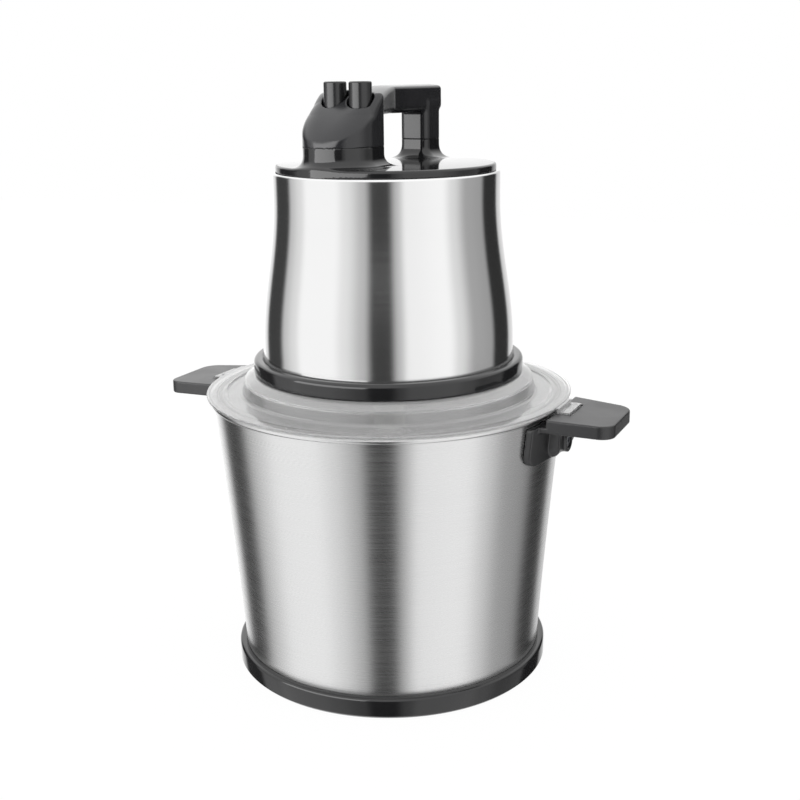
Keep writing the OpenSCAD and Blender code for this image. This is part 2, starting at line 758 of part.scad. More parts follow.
// Grip: a bar with chamfered lower edges and a softly crowned top
module grip_bar() {
    translate([handle_shift, post_back, 0]) rotate([90, 0, 0]) linear_extrude(height = post_back - dome_back + 1.5) polygon([
        [-grip_half + 3, grip_low], [grip_half - 3, grip_low], [grip_half, grip_low + 4],
        [grip_half, grip_top - 3.5], [grip_half - 1, grip_top - 1.6], [grip_half - 3.5, grip_top - 0.4],
        [0, grip_top], [-grip_half + 3.5, grip_top - 0.4], [-grip_half + 1, grip_top - 1.6],
        [-grip_half, grip_top - 3.5], [-grip_half, grip_low + 4]
    ]);
}

// Plan of the post
module post_plan() {
    half = grip_half - 0.2;
    front = post_front;
    back = post_back;
    r = 4;
    translate([handle_shift, 0]) polygon(concat(
        arc(half - r, back - r, r, 0, 90, 5),
        arc(-half + r, back - r, r, 90, 180, 5),
        arc(-half + r, front + r, r, 180, 270, 5),
        arc(half - r, front + r, r, 270, 360, 5)
    ));
}

// Concave flare beside a wall: its points from the plate up
function flare(wall, spread, rise) = [
    for (i = [0:5]) [wall + spread * pow(1 - i / 5, 2) - 0.3, plate_top + rise * i / 5]
];

// Both sides of a flare with the solid between them
function flare_pair(half, spread, rise) = let (side = flare(half, spread, rise)) concat(
    [[half + spread - 0.3, plate_top - 0.5]], side,
    [for (i = [5:-1:0]) [-side[i][0], side[i][1]]], [[-half - spread + 0.3, plate_top - 0.5]]
);

// Flared foot of the post: straight flares on its four sides and turned ones at its corners
module post_foot() {
    half = grip_half - 0.2;
    deep = (post_back - post_front) / 2;
    corner = 4;
    translate([handle_shift, (post_front + post_back) / 2, 0]) {
        rotate([90, 0, 0]) translate([0, 0, -deep + corner]) linear_extrude(height = 2 * (deep - corner))
            polygon(flare_pair(half, foot_flare, 8));
        rotate([90, 0, 90]) translate([0, 0, -half + corner]) linear_extrude(height = 2 * (half - corner))
            polygon(flare_pair(deep, foot_flare, 8));
        for (x = [-1, 1]) for (y = [-1, 1]) translate([x * (half - corner), y * (deep - corner), 0])
            rotate_extrude() polygon(concat(
                [[0, plate_top - 0.5], [corner + foot_flare - 0.3, plate_top - 0.5]],
                flare(corner, foot_flare, 8), [[0, plate_top + 8]]
            ));
    }
}

// Flared foot of the dome: turned round its front and drawn along both sides, cut off at its back face
module dome_foot() {
    spread = foot_flare - 1;
    intersection() {
        union() {
            translate([handle_shift, dome_mid, 0]) rotate_extrude() polygon(concat(
                [[0, plate_top - 0.5], [dome_half + spread - 0.3, plate_top - 0.5]],
                flare(dome_half, spread, 8), [[0, plate_top + 8]]
            ));
            translate([handle_shift, dome_back + 10, 0]) rotate([90, 0, 0])
                linear_extrude(height = dome_back - dome_mid + 10) polygon(flare_pair(dome_half, spread, 8));
        }
        cylinder(h = plate_top + 20, r = plate_r - 0.6);
        translate([-100, dome_front - 20, 0]) cube([200, dome_back - dome_front + 20, plate_top + 20]);
    }
}

// Places of the screws that hold the handle shell from below
module screw_places() {
    translate([handle_shift, 0, 0]) {
        for (side = [-1, 1]) translate([side * 12, dome_front + 14, 0]) children();
        translate([0, (post_front + post_back) / 2 - 2, 0]) children();
    }
}

// Glossy top plate with the lower halves of the dome and the post
module top_cover() {
    rim = [for (i = [0:5]) let (x = (plate_r - 2) * (5 - i) / 5) [x, plate_top + plate_crown * (1 - pow(x / plate_r, 2))]];
    color("#161616") on_head() difference() {
        union() {
            rotate_extrude() polygon(concat(
                [[0, sleeve_top], [plate_r - 0.5, sleeve_top]],
                arc(plate_r - 1.5, plate_top - 1.5, 1.5, 0, 75, 4),
                rim
            ));
            tube(sleeve_top - 6, sleeve_top + 1, plate_r - 6, plate_r - 3 - fix_gap);
            intersection() {
                dome_solid(0);
                translate([-100, -100, plate_top - 1]) cube([200, 200, parting_height + 1]);
            }
            dome_foot();
            translate([0, 0, plate_top - 0.5]) linear_extrude(height = parting_height + 0.5) post_plan();
            post_foot();
            tie_places() translate([0, 0, tie_boss_low]) cylinder(h = sleeve_top - tie_boss_low + 1, r = 7);
        }
        difference() {
            translate([0, 0, sleeve_top - 1]) linear_extrude(height = parting_height + 20) dome_plan(ledge_wall);
            screw_places() cylinder(h = parting + 1, r = 5.5);
        }
        screw_places() {
            cylinder(h = sleeve_top + 3, r = 4);
            cylinder(h = parting + 1, r = 2.2);
        }
        tie_places() translate([0, 0, tie_boss_low - 1]) cylinder(h = sleeve_top - tie_boss_low + 1, r = 2.6);
        translate([handle_shift, post_back - 12, grommet_z]) rotate([-90, 0, 0]) cylinder(h = 30, r = 5 + fix_gap);
    }
}

// Place of one button in the head's own frame
function button_place(side) = [handle_shift + button_shift + side * button_pitch / 2, button_y, 0];

// Places of the two buttons
module button_places() {
    for (side = [-1, 1]) translate(button_place(side)) children();
}

// Upper shell: hollow dome with the button guides, web, grip and the post's upper half
module handle_shell() {
    color("#232323") on_head() difference() {
        union() {
            difference() {
                dome_solid(0);
                dome_solid(dome_wall);
            }
            intersection() {
                dome_solid(0);
                union() {
                    button_places() translate([0, 0, well_low]) cylinder(h = 40, r = moat_r + 2.4);
                    screw_places() translate([0, 0, parting - 1]) cylinder(h = 20, r = 4.2);
                }
            }
            grip_web();
            grip_bar();
            translate([0, 0, parting]) linear_extrude(height = grip_low + 4 - parting) post_plan();
        }
        translate([-100, -100, 0]) cube([200, 200, parting]);
        button_places() {
            translate([0, 0, moat_floor]) cylinder(h = 40, r = moat_r);
            translate([0, 0, well_low - 1]) cylinder(h = 60, r = button_r + button_gap);
            translate([0, 0, parting]) cylinder(h = well_low - parting, r = flange_r + button_gap);
        }
        screw_places() cylinder(h = parting + 13, r = 1.9 + fix_gap);
    }
}

module cover_screws() {
    color("silver") on_head() screw_places() {
        translate([0, 0, sleeve_top + 0.4]) cylinder(h = 2.6, r = 3.8);
        translate([0, 0, sleeve_top + 2.9]) cylinder(h = parting + 12 - sleeve_top - 2.9, r = 1.9);
    }
}

module output_bush() {
    color("#b08d57") tube(bush_low, bush_top, output_r + run_gap, bush_r);
}

module output_seal() {
    color("#303030") tube(head_low + 2.5, bush_low, output_r + run_gap, bush_r);
}

// Points of a gear with involute flanks; the pitch circle, tip and root follow from module and teeth
function involute(a) = tan(a) * 180 / PI - a;
function flank(r, base, teeth, play) = 90 / teeth - play * 90 / (PI * teeth * gear_module / 2)
    + involute(20) - involute(acos(min(1, base / r)));
function gear_points(teeth, tip, root, play) = let (
    base = teeth * gear_module / 2 * cos(20),
    low = max(base, root),
    radii = [root, for (i = [0:3]) low + (tip - low) * i / 3]
) [
    for (tooth = [0:teeth - 1]) for (side = [-1, 1]) for (i = [0:4])
        let (r = radii[side < 0 ? i : 4 - i], a = tooth * 360 / teeth + side * flank(max(r, low), base, teeth, play))
        r * [cos(a), sin(a)]
];

// Toothed wheel with its first tooth along +X
module gear(teeth, bore) {
    pitch = teeth * gear_module / 2;
    difference() {
        linear_extrude(height = gear_height)
            polygon(gear_points(teeth, pitch + 0.9 * gear_module, pitch - 1.2 * gear_module, gear_play));
        translate([0, 0, -1]) cylinder(h = gear_height + 2, r = bore);
    }
}

module sun_gear() {
    color("gray") on_head() translate([0, 0, gear_low]) gear(sun_teeth, shaft_r + fix_gap);
}

module planet_gear(index) {
    color("#d8d0b8") on_head() rotate([0, 0, 360 / planet_count * index]) translate([orbit_r, 0, gear_low])
        rotate([0, 0, 180 / planet_teeth]) gear(planet_teeth, pin_r + run_gap);
}

module ring_gear() {
    pitch = ring_teeth * gear_module / 2;
    color("gray") on_head() translate([0, 0, gear_low]) difference() {
        cylinder(h = gear_height, r = ring_out_r);
        translate([0, 0, -1]) linear_extrude(height = gear_height + 2) rotate([0, 0, 180 / ring_teeth])
            polygon(gear_points(ring_teeth, pitch + 1.2 * gear_module, pitch - 0.85 * gear_module, -gear_play));
    }
}

module gear_carrier() {
    hex_r = hex_flats / 2 / cos(30);
    color("lightgray") on_head() union() {
        translate([0, 0, carrier_low]) cylinder(h = carrier_top - carrier_low, r = carrier_r);
        translate([0, 0, hex_top]) cylinder(h = carrier_low - hex_top + 1, r = output_r);
        translate([0, 0, hex_low]) cylinder(h = hex_top - hex_low + 1, r = hex_r, $fn = 6);
        for (i = [0:planet_count - 1]) rotate([0, 0, 360 / planet_count * i])
            translate([orbit_r, 0, carrier_top - 1]) cylinder(h = pin_top - carrier_top + 1, r = pin_r);
    }
}

module gearbox_case() {
    color("#8a8d90") rotate_extrude() polygon([
        [ring_out_r - 2, base_top], [ring_out_r + 4, base_top], [ring_out_r + 4, case_top],
        [ring_out_r + fix_gap, case_top], [ring_out_r + fix_gap, gear_low], [ring_out_r - 2, gear_low]
    ]);
}

// Places of the four bolts that hold the motor
module motor_places() {
    for (turn = [45:90:315]) rotate([0, 0, turn]) translate([post_ring_r, 0, 0]) children();
}

module motor_base() {
    color("#8a8d90") on_head() difference() {
        rotate_extrude() polygon([
            [bearing_r - 4, case_top - 1], [bearing_r + 3, case_top - 1], [bearing_r + 3, case_top],
            [ring_out_r + 12, case_top], [ring_out_r + 12, motor_base_top], [bearing_r + 3, motor_base_top],
            [bearing_r + 3, case_top + bearing_height], [bearing_r + fix_gap, case_top + bearing_height],
            [bearing_r + fix_gap, case_top], [bearing_r - 4, case_top]
        ]);
        motor_places() translate([0, 0, case_top - 1]) cylinder(h = 10, r = 3.1);
    }
}

module motor_bolts() {
    color("silver") on_head() motor_places() {
        translate([0, 0, case_top]) cylinder(h = motor_top + bridge_thick - case_top, r = 3);
        translate([0, 0, motor_top + bridge_thick]) cylinder(h = 4, r = 5.5, $fn = 6);
    }
}

module motor_spacers() {
    color("#c0c0c0") on_head() motor_places() {
        tube(motor_base_top, core_low, 3.1, 5);
        tube(core_top, motor_top, 3.1, 5);
    }
}

// Laminated core: two poles round the armature, and windows above and below for the field coils
module stator_core() {
    color("#707478") on_head() translate([0, 0, core_low]) linear_extrude(height = core_height) difference() {
        circle(r = stator_r);
        circle(r = armature_r + 0.6);
        coil_window();
        for (turn = [45:90:315]) rotate([0, 0, turn]) translate([post_ring_r, 0]) circle(r = 3.1);
    }
}

// Annular windows between the poles
module coil_window() {
    for (turn = [90, 270]) rotate([0, 0, turn]) polygon(concat(
        arc(0, 0, armature_r + 0.6, -window_half, window_half, 8),
        arc(0, 0, coil_out_r, window_half, -window_half, 8)
    ));
}

module field_coils() {
    color("#b5692f") on_head() {
        half = window_half - 1;
        for (turn = [90, 270]) rotate([0, 0, turn]) translate([0, 0, core_low - 1])
            linear_extrude(height = core_height + 2)
                polygon(concat(arc(0, 0, armature_r + 4.5, -half, half, 8), arc(0, 0, coil_out_r - 0.3, half, -half, 8)));
        tube(core_low - 6, core_low, armature_r + 4, coil_out_r - 3);
        tube(core_top, core_top + 6, armature_r + 4, coil_out_r - 3);
    }
}

module motor_bridge() {
    color("#8a8d90") on_head() difference() {
        union() {
            for (turn = [45, 135]) rotate([0, 0, turn]) translate([-bridge_end, -bridge_half, motor_top])
                cube([2 * bridge_end, 2 * bridge_half, bridge_thick]);
            translate([0, 0, motor_top]) cylinder(h = bridge_thick, r = bridge_disc_r);
            translate([0, 0, motor_top]) cylinder(h = bridge_thick + 7, r = bridge_boss_r);
        }
        translate([0, 0, motor_top - 1]) cylinder(h = 3, r = 8);
        translate([0, 0, motor_top + 2]) cylinder(h = 12, r = upper_bearing_r + fix_gap);
        motor_places() translate([0, 0, motor_top - 1]) cylinder(h = 10, r = 3.1);
    }
}

module lower_bearing() {
    color("lightgray") tube(case_top, case_top + bearing_height, shaft_r, bearing_r);
}

module upper_bearing() {
    color("lightgray") tube(motor_top + 2, motor_top + 9, shaft_r, upper_bearing_r);
}

module brush_holders() {
    color("#a8843c") on_head() both_sides() difference() {
        translate([holder_in, -brush_width / 2 - 2.5, brush_low - 2])
            cube([brush_length + 1, brush_width + 5, motor_top - brush_low + 2]);
        translate([holder_in - 1, -brush_width / 2 - 0.1, brush_low])
            cube([brush_length + 4, brush_width + 0.2, brush_height + 0.2]);
    }
}

module carbon_brushes() {
    color("#3a3a3a") on_head() both_sides()
        translate([commutator_r + lift_gap, -brush_width / 2, brush_low]) cube([brush_length, brush_width, brush_height]);
}

module motor_shaft() {
    color("lightgray") translate([0, 0, gear_low]) cylinder(h = shaft_top - gear_low, r = shaft_r - run_gap);
}

// Armature core with open winding slots
module armature_core() {
    slots = 12;
    color("#707478") on_head() translate([0, 0, core_low]) difference() {
        cylinder(h = core_height, r = armature_r);
        translate([0, 0, -1]) cylinder(h = core_height + 2, r = shaft_r + fix_gap);
        for (i = [0:slots - 1]) rotate([0, 0, 360 / slots * i]) translate([armature_r - 9, -1.6, -1])
            cube([12, 3.2, core_height + 2]);
    }
}

module armature_winding() {
    color("#b5692f") {
        tube(core_low - 6, core_low, shaft_r + fix_gap, armature_r - 4);
        tube(core_top, commutator_low - 1, shaft_r + fix_gap, armature_r - 4);
    }
}

module commutator() {
    color("#b5692f") on_head() difference() {
        tube(commutator_low - 1, commutator_top, shaft_r + fix_gap, commutator_r);
        for (i = [0:11]) rotate([0, 0, 30 * i + 15]) translate([commutator_r - 1.2, -0.4, commutator_low])
            cube([3, 0.8, commutator_length + 6]);
    }
}

// Radial fan: a disc with swept vanes on a hub
module cooling_fan() {
    color("#404448") on_head() difference() {
        union() {
            translate([0, 0, fan_low]) cylinder(h = 2, r = fan_r);
            translate([0, 0, fan_low]) cylinder(h = 11, r = 10);
            for (i = [0:fan_vanes - 1]) rotate([0, 0, 360 / fan_vanes * i]) translate([0, 0, fan_low + 1])
                linear_extrude(height = 10) polygon(concat(
                    [for (i = [0:4]) let (r = 9 + (fan_r - 10) * i / 4) r * [cos(r * 0.7), sin(r * 0.7)]],
                    [for (i = [4:-1:0]) let (r = 9 + (fan_r - 10) * i / 4) r * [cos(r * 0.7 + 90 / r), sin(r * 0.7 + 90 / r)]]
                ));
        }
        translate([0, 0, fan_low - 1]) cylinder(h = 14, r = shaft_r + fix_gap);
    }
}

module switch_bracket() {
    color("#d0c8a0") on_head() difference() {
        intersection() {
            dome_solid(dome_wall + 0.2);
            translate([-50, dome_front, parting]) cube([100, dome_back - dome_front, bracket_top - parting]);
        }
        button_places() translate([0, 0, parting - 1]) cylinder(h = 5, r = 2.4);
        screw_places() translate([0, 0, parting - 1]) cylinder(h = 5, r = 4.5);
    }
}

module switch_body(side) {
    color("#303438") on_head() translate(button_place(side)) difference() {
        translate([-4, -11, parting - 12]) cube([8, 17.5, 12]);
        translate([0, 0, parting - 9]) cylinder(h = 10, r = 2.1);
    }
}

module switch_low() {
    switch_body(-1);
}

module switch_high() {
    switch_body(1);
}

module cord_grommet() {
    color("#1a1a1a") on_head() translate([handle_shift, post_back - 8, grommet_z]) rotate([-90, 0, 0]) difference() {
        union() {
            cylinder(h = 10, r = 5);
            translate([0, 0, 10]) cylinder(h = 5, r1 = 5, r2 = 4);
        }
        translate([0, 0, -1]) cylinder(h = 17, r = 3.3);
    }
}

// Push button: cap with a softened top, a flange that keeps it in, and a stem down into its switch
module button(side) {
    stem_low = parting - button_travel + 0.5;
    color("#1a1a1a") on_head() translate(button_place(side))
        rotate_extrude() polygon(concat(
            [[0, stem_low], [1.8, stem_low], [1.8, flange_low]],
            [[flange_r, flange_low], [flange_r, flange_top], [button_r, flange_top]],
            arc(button_r - 1.2, button_top - 1.2, 1, 0, 90, 4),
            [[0, button_top]]
        ));
}

module button_low() {
    button(-1);
}

module button_high() {
    button(1);
}

// Coil spring swept along a helix as one closed tube
module button_spring(side) {
    wire = 0.5;
    coil_r = 4.4;
    turns = 5;
    sides = 6;
    rings = turns * 12;
    low = bracket_top + wire + 0.1;
    pitch = (flange_low - bracket_top - 2 * wire - 0.2) / turns;
    points = [
        for (i = [0:rings]) let (a = 360 * turns * i / rings) for (k = [0:sides - 1])
            let (b = 360 * k / sides, r = coil_r + wire * cos(b))
            [r * cos(a), r * sin(a), low + pitch * turns * i / rings + wire * sin(b)]
    ];
    faces = concat(
        [[for (k = [0:sides - 1]) k]],
        [for (i = [0:rings - 1]) for (k = [0:sides - 1]) let (n = (k + 1) % sides)
            [i * sides + k, (i + 1) * sides + k, (i + 1) * sides + n, i * sides + n]],
        [[for (k = [sides - 1:-1:0]) rings * sides + k]]
    );
    color("silver") on_head() translate(button_place(side))
        polyhedron(points = points, faces = faces, convexity = 10);
}

module button_spring_low() {
    button_spring(-1);
}

module button_spring_high() {
    button_spring(1);
}

bowl_shell();
foot_ring();
bowl_spindle();
spindle_seal();
spindle_washer();
spindle_nut();
handle_brackets();
handle_left();
handle_right();
handle_screws();
lid_cover();
lid_rim();
lid_seal();
blade_hub();
blade_lower();
blade_spacer();
blade_upper();
blade_nut();
head_ring();
base_plate();
steel_sleeve();
top_cover();
handle_shell();
cover_screws();
tie_bolts();
output_bush();
output_seal();
gearbox_case();
ring_gear();
motor_base();
motor_bolts();
motor_spacers();
stator_core();
field_coils();
brush_holders();
carbon_brushes();
motor_bridge();
lower_bearing();
upper_bearing();
switch_bracket();
switch_low();
switch_high();
cord_grommet();
gear_carrier();
planet_gear(0);  // planet_gear_1
planet_gear(1);  // planet_gear_2
planet_gear(2);  // planet_gear_3
motor_shaft();
armature_core();
armature_winding();
commutator();
cooling_fan();
sun_gear();
button_low();
button_high();
button_spring_low();
button_spring_high();
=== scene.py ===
# %% [markdown]
# # An electric food chopper
#
# A steel bowl stands on a black foot ring. A clear lid closes it, and a motor head stands on the lid.
# The head is a polished steel sleeve between a black ring and a glossy black top plate, and the plate
# carries a handle with two push buttons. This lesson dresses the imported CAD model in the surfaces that
# the eye meets first: brushed steel, clear plastic and two kinds of black moulding.
#
# Sizes are written in millimetres, because that is how such a product is drawn. One constant turns them
# into Blender's metres at the last moment.

import bpy
import bmesh
import json
import math
import numpy as np
from mathutils import Matrix, Vector


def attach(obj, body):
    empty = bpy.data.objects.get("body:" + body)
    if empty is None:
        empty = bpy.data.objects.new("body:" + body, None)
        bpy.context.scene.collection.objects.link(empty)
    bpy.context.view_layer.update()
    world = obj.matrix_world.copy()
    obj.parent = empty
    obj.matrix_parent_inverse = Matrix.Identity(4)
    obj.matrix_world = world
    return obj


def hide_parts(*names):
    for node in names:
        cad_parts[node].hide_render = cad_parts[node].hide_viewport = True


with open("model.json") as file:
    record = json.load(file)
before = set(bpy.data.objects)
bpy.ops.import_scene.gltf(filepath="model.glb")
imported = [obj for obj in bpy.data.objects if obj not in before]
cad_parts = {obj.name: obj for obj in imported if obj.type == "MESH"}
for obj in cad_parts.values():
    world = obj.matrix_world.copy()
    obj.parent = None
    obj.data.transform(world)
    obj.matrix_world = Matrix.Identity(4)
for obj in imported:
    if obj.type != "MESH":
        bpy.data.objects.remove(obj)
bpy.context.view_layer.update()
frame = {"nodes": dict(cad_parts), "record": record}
scene = bpy.context.scene
MM = 0.001

# %% [markdown]
# ## Sizes that several pieces share
#
# The head stands slightly turned on the lid, and its handle sits a little left of the head's middle.
# Both are kept as values, so that the plate, the handle and the buttons stay together.

# %% Shared sizes, in millimetres
BOWL_TOP = 220.0
BOWL_WALL = 1.2
BOWL_FOOT_R, BOWL_FLARE = 119.6, 17.6
FLOOR = 8.0
LID_TOP = 237.2
HEAD_LOW = 237.5
RING_TOP = 249.3
SLEEVE_TOP = 390.5
PLATE_TOP = 395.9
PARTING = 410.8
HEAD_TURN = math.radians(-7.0)
HANDLE_SHIFT = -5.0
BUTTON_MIDDLE, BUTTON_APART, BUTTON_Y = HANDLE_SHIFT + 3.2, 10.8, -47.0
BUTTONS = ((BUTTON_MIDDLE - BUTTON_APART, BUTTON_Y), (BUTTON_MIDDLE + BUTTON_APART, BUTTON_Y))


def bowl_radius(z):
    """Outer radius of the bowl's wall at height z. The power above 1 makes the wall slightly hollow."""
    return BOWL_FOOT_R + BOWL_FLARE * ((z - FLOOR) / (BOWL_TOP - FLOOR)) ** 1.2


# %% [markdown]
# ## Materials
#
# A material here is a small graph of nodes. One function adds a node with its settings and links, and one
# turns a hex colour, as a paint chart gives it, into the linear numbers that the renderer works with.

# %% Helpers for materials
def linear(hex_value):
    """Linear colour with alpha from an sRGB hex value."""
    parts = [int(hex_value[i:i + 2], 16) / 255 for i in (1, 3, 5)]
    return [p / 12.92 if p <= 0.04045 else ((p + 0.055) / 1.055) ** 2.4 for p in parts] + [1.0]


def add(tree, kind, links=None, **settings):
    """Adds a node, sets its properties or input values, and links outputs of other nodes to its inputs."""
    node = tree.nodes.new(kind)
    for name, value in settings.items():
        if hasattr(node, name):
            setattr(node, name, value)
        else:
            node.inputs[name.replace("_", " ")].default_value = value
    for name, source in (links or {}).items():
        tree.links.new(source, node.inputs[name])
    return node


def start_material(name):
    """A new material, its tree and its Principled shader."""
    material = bpy.data.materials.new(name)
    material.use_nodes = True
    tree = material.node_tree
    return material, tree, tree.nodes["Principled BSDF"]


def set_values(shader, **values):
    """Plain numbers and colours on the shader's own sockets."""
    for name, value in values.items():
        shader.inputs[name.replace("_", " ")].default_value = value


def noise(tree, scale, detail, stretch=(1, 1, 1), **settings):
    """A noise in object coordinates, stretched by one factor per axis."""
    place = add(tree, "ShaderNodeTexCoord")
    spot = add(tree, "ShaderNodeMapping", {"Vector": place.outputs["Object"]}, Scale=stretch)
    return add(tree, "ShaderNodeTexNoise", {"Vector": spot.outputs["Vector"]}, Scale=scale, Detail=detail,
               **settings).outputs["Fac"]


def mapped(tree, source, low, high, start=0.3, end=0.7):
    """Stretches the values between start and end to the range from low to high."""
    return add(tree, "ShaderNodeMapRange", {"Value": source}, From_Min=start, From_Max=end, To_Min=low,
               To_Max=high).outputs["Result"]


def set_tint(tree, shader, share, first, second):
    """A base colour that wanders between two colours."""
    tint = add(tree, "ShaderNodeMix", {"Factor": share}, data_type="RGBA")
    tint.inputs[6].default_value = first
    tint.inputs[7].default_value = second
    tree.links.new(tint.outputs[2], shader.inputs["Base Color"])


def set_surface(tree, shader, rough, height, strength, depth_mm):
    """Roughness and bump."""
    bump = add(tree, "ShaderNodeBump", {"Height": height}, Strength=strength, Distance=depth_mm * MM)
    tree.links.new(rough, shader.inputs["Roughness"])
    tree.links.new(bump.outputs["Normal"], shader.inputs["Normal"])


# %% [markdown]
# ### Brushed stainless steel
#
# The bowl and the sleeve are stainless sheet, spun to shape and brushed on the lathe, so the scratches run
# round the piece. Such scratches spread a reflection up and down but keep it narrow from side to side,
# and that is why the steel shows tall bands of light and dark. The shader's anisotropy makes this: its
# tangent runs round the Z axis, and a quarter turn sets the spread across the scratches. A fine noise,
# squeezed along Z, adds the scratches themselves. Real ones are about 0.1 mm apart. They are drawn up to
# 0.5 mm apart, because finer ones can't show at this picture's size. The sleeve is brushed with a finer grit
# and then polished, so it is smoother and lighter than the bowl.

# %% Brushed and polished steel
def brushed_steel(name, colour, roughness, scratch_strength, spread, scratch_mm=0.5):
    material, tree, shader = start_material(name)
    lines = noise(tree, 1.0, 2.0, (9, 9, 1 / (scratch_mm * MM)), Roughness=0.6)
    broad = noise(tree, 1.0, 3.0, (14, 14, 60))
    darker = [c * 0.9 for c in linear(colour)[:3]] + [1.0]
    set_tint(tree, shader, mapped(tree, broad, 0.94, 1.0, 0.35, 0.65), darker, linear(colour))
    set_surface(tree, shader, mapped(tree, lines, roughness * 0.85, roughness * 1.15), lines, scratch_strength,
                0.04)
    tangent = add(tree, "ShaderNodeTangent", direction_type="RADIAL", axis="Z")
    tree.links.new(tangent.outputs["Tangent"], shader.inputs["Tangent"])
    set_values(shader, Metallic=1.0, Anisotropic=spread, Anisotropic_Rotation=0.25)
    return material


BOWL_STEEL = brushed_steel("brushed stainless steel", "#c6c6c6", 0.27, 0.3, 0.8)
SLEEVE_STEEL = brushed_steel("polished stainless steel", "#d2d2d2", 0.15, 0.2, 0.75, 0.35)
print("steel:", BOWL_STEEL.name, "and", SLEEVE_STEEL.name)

# %% [markdown]
# ### Black mouldings
#
# The top plate is ABS from a mirror-polished mould: nearly black, with a clear reflection. The side handles
# come from a finely eroded mould, which leaves a grain of a few hundredths of a millimetre, so their
# reflection is soft. The head's handle and the buttons lie between the two. All plastics and the rubber share
# one recipe: a base with faint flow clouding, and a fine bump for the grain.

# %% Moulded plastics
def moulded_plastic(name, colour, roughness, grain_mm=0.25, depth_mm=0.01, ior=1.5):
    material, tree, shader = start_material(name)
    grain = noise(tree, 1 / (grain_mm * MM), 2.0)
    flow = noise(tree, 35.0, 2.0)
    lighter = [min(1.0, c * 1.25 + 0.002) for c in linear(colour)[:3]] + [1.0]
    set_tint(tree, shader, flow, linear(colour), lighter)
    set_surface(tree, shader, mapped(tree, flow, roughness * 0.9, roughness * 1.1), grain, 0.3, depth_mm)
    set_values(shader, IOR=ior)
    return material


GLOSS_BLACK = moulded_plastic("glossy black ABS", "#111112", 0.09, 0.6, 0.002)
SEMI_BLACK = moulded_plastic("semi gloss black ABS", "#18181a", 0.2, 0.4, 0.004)
SATIN_BLACK = moulded_plastic("satin black ABS", "#1b1b1c", 0.36)
BUTTON_BLACK = moulded_plastic("button black ABS", "#161617", 0.22)
WHITE_NYLON = moulded_plastic("white nylon", "#d9d9d2", 0.4)
SILICONE = moulded_plastic("translucent silicone", "#c9c9c4", 0.5, ior=1.41)

# %% [markdown]
# ### Clear lid
#
# The lid is injection moulded from clear styrene-acrylonitrile, whose index of refraction is 1.57. It is
# slightly hazy from handling and washing, so a broad noise lifts its roughness in places, and about a fifth
# of the light is scattered instead of passed on. That makes the lid read as a pale, milky band over the steel.

# %% Clear plastic
def clear_plastic(name):
    material, tree, shader = start_material(name)
    rough = mapped(tree, noise(tree, 18.0, 3.0), 0.06, 0.18, 0.35, 0.7)
    tree.links.new(rough, shader.inputs["Roughness"])
    set_values(shader, Base_Color=linear("#f0f0f0"), IOR=1.57, Transmission_Weight=0.78)
    return material


CLEAR = clear_plastic("clear moulded plastic")

# %% [markdown]
# ### Plain metals of the inner works
#
# Bolts are zinc plated, the blades are ground, the gearbox is die cast. Each takes a tone, a roughness and a
# grain of its own size.

# %% Plain metals
def plain_metal(name, colour, roughness, grain_mm, depth_mm):
    material, tree, shader = start_material(name)
    grain = noise(tree, 1 / (grain_mm * MM), 3.0)
    set_surface(tree, shader, mapped(tree, grain, roughness * 0.8, roughness * 1.2), grain, 0.4, depth_mm)
    set_values(shader, Base_Color=linear(colour), Metallic=1.0)
    return material


GROUND = plain_metal("ground steel", "#c9cacc", 0.22, 0.3, 0.004)
COPPER = plain_metal("enamelled copper", "#b4663a", 0.3, 0.5, 0.01)

FINISH = {
    "polished_steel": BOWL_STEEL, "black_gloss_plastic": GLOSS_BLACK, "black_satin_plastic": SATIN_BLACK,
    "clear_plastic": CLEAR, "silicone": SILICONE, "ground_steel": GROUND, "white_nylon": WHITE_NYLON,
    "copper": COPPER,
    "dark_moulding": moulded_plastic("dark grey nylon", "#232326", 0.5),
    "gear_nylon": moulded_plastic("natural nylon", "#cfc7ab", 0.45),
    "black_rubber": moulded_plastic("black rubber", "#1a1a1a", 0.62),
    "laminate_board": moulded_plastic("laminate board", "#7d7350", 0.55),
    "carbon": moulded_plastic("pressed carbon", "#26262a", 0.6),
    "zinc_steel": plain_metal("zinc plated steel", "#b9bbbf", 0.35, 0.8, 0.01),
    "sintered_steel": plain_metal("sintered steel", "#77787c", 0.5, 0.5, 0.02),
    "cast_aluminium": plain_metal("die cast aluminium", "#a9abad", 0.45, 0.9, 0.03),
    "bronze": plain_metal("sintered bronze", "#b08a52", 0.4, 0.5, 0.01),
}
print("finishes:", len(FINISH))

# %% [markdown]
# ## Finishes on the CAD nodes
#
# Most inner pieces already have their right shape in the CAD model, so each node only takes the material of
# the slot that the record names for it.

# %% Dress the CAD nodes
slot_of = {part["node"]: part["material_slot"] for part in frame["record"]["subparts"]}
for node_name, node in frame["nodes"].items():
    node.data.materials.clear()
    node.data.materials.append(FINISH[slot_of[node_name]])
print("dressed nodes:", len(frame["nodes"]))

# %% [markdown]
# ## Turned pieces
#
# Bowls, rings, sleeves and hubs are bodies of revolution, so they are made the way a lathe makes them: a
# profile is drawn in radius and height, and it is turned round the Z axis. Every corner of a real profile has
# a small radius, and those radii catch the light, so each profile point carries a radius of its own and one
# function rounds the corners before the profile is turned.

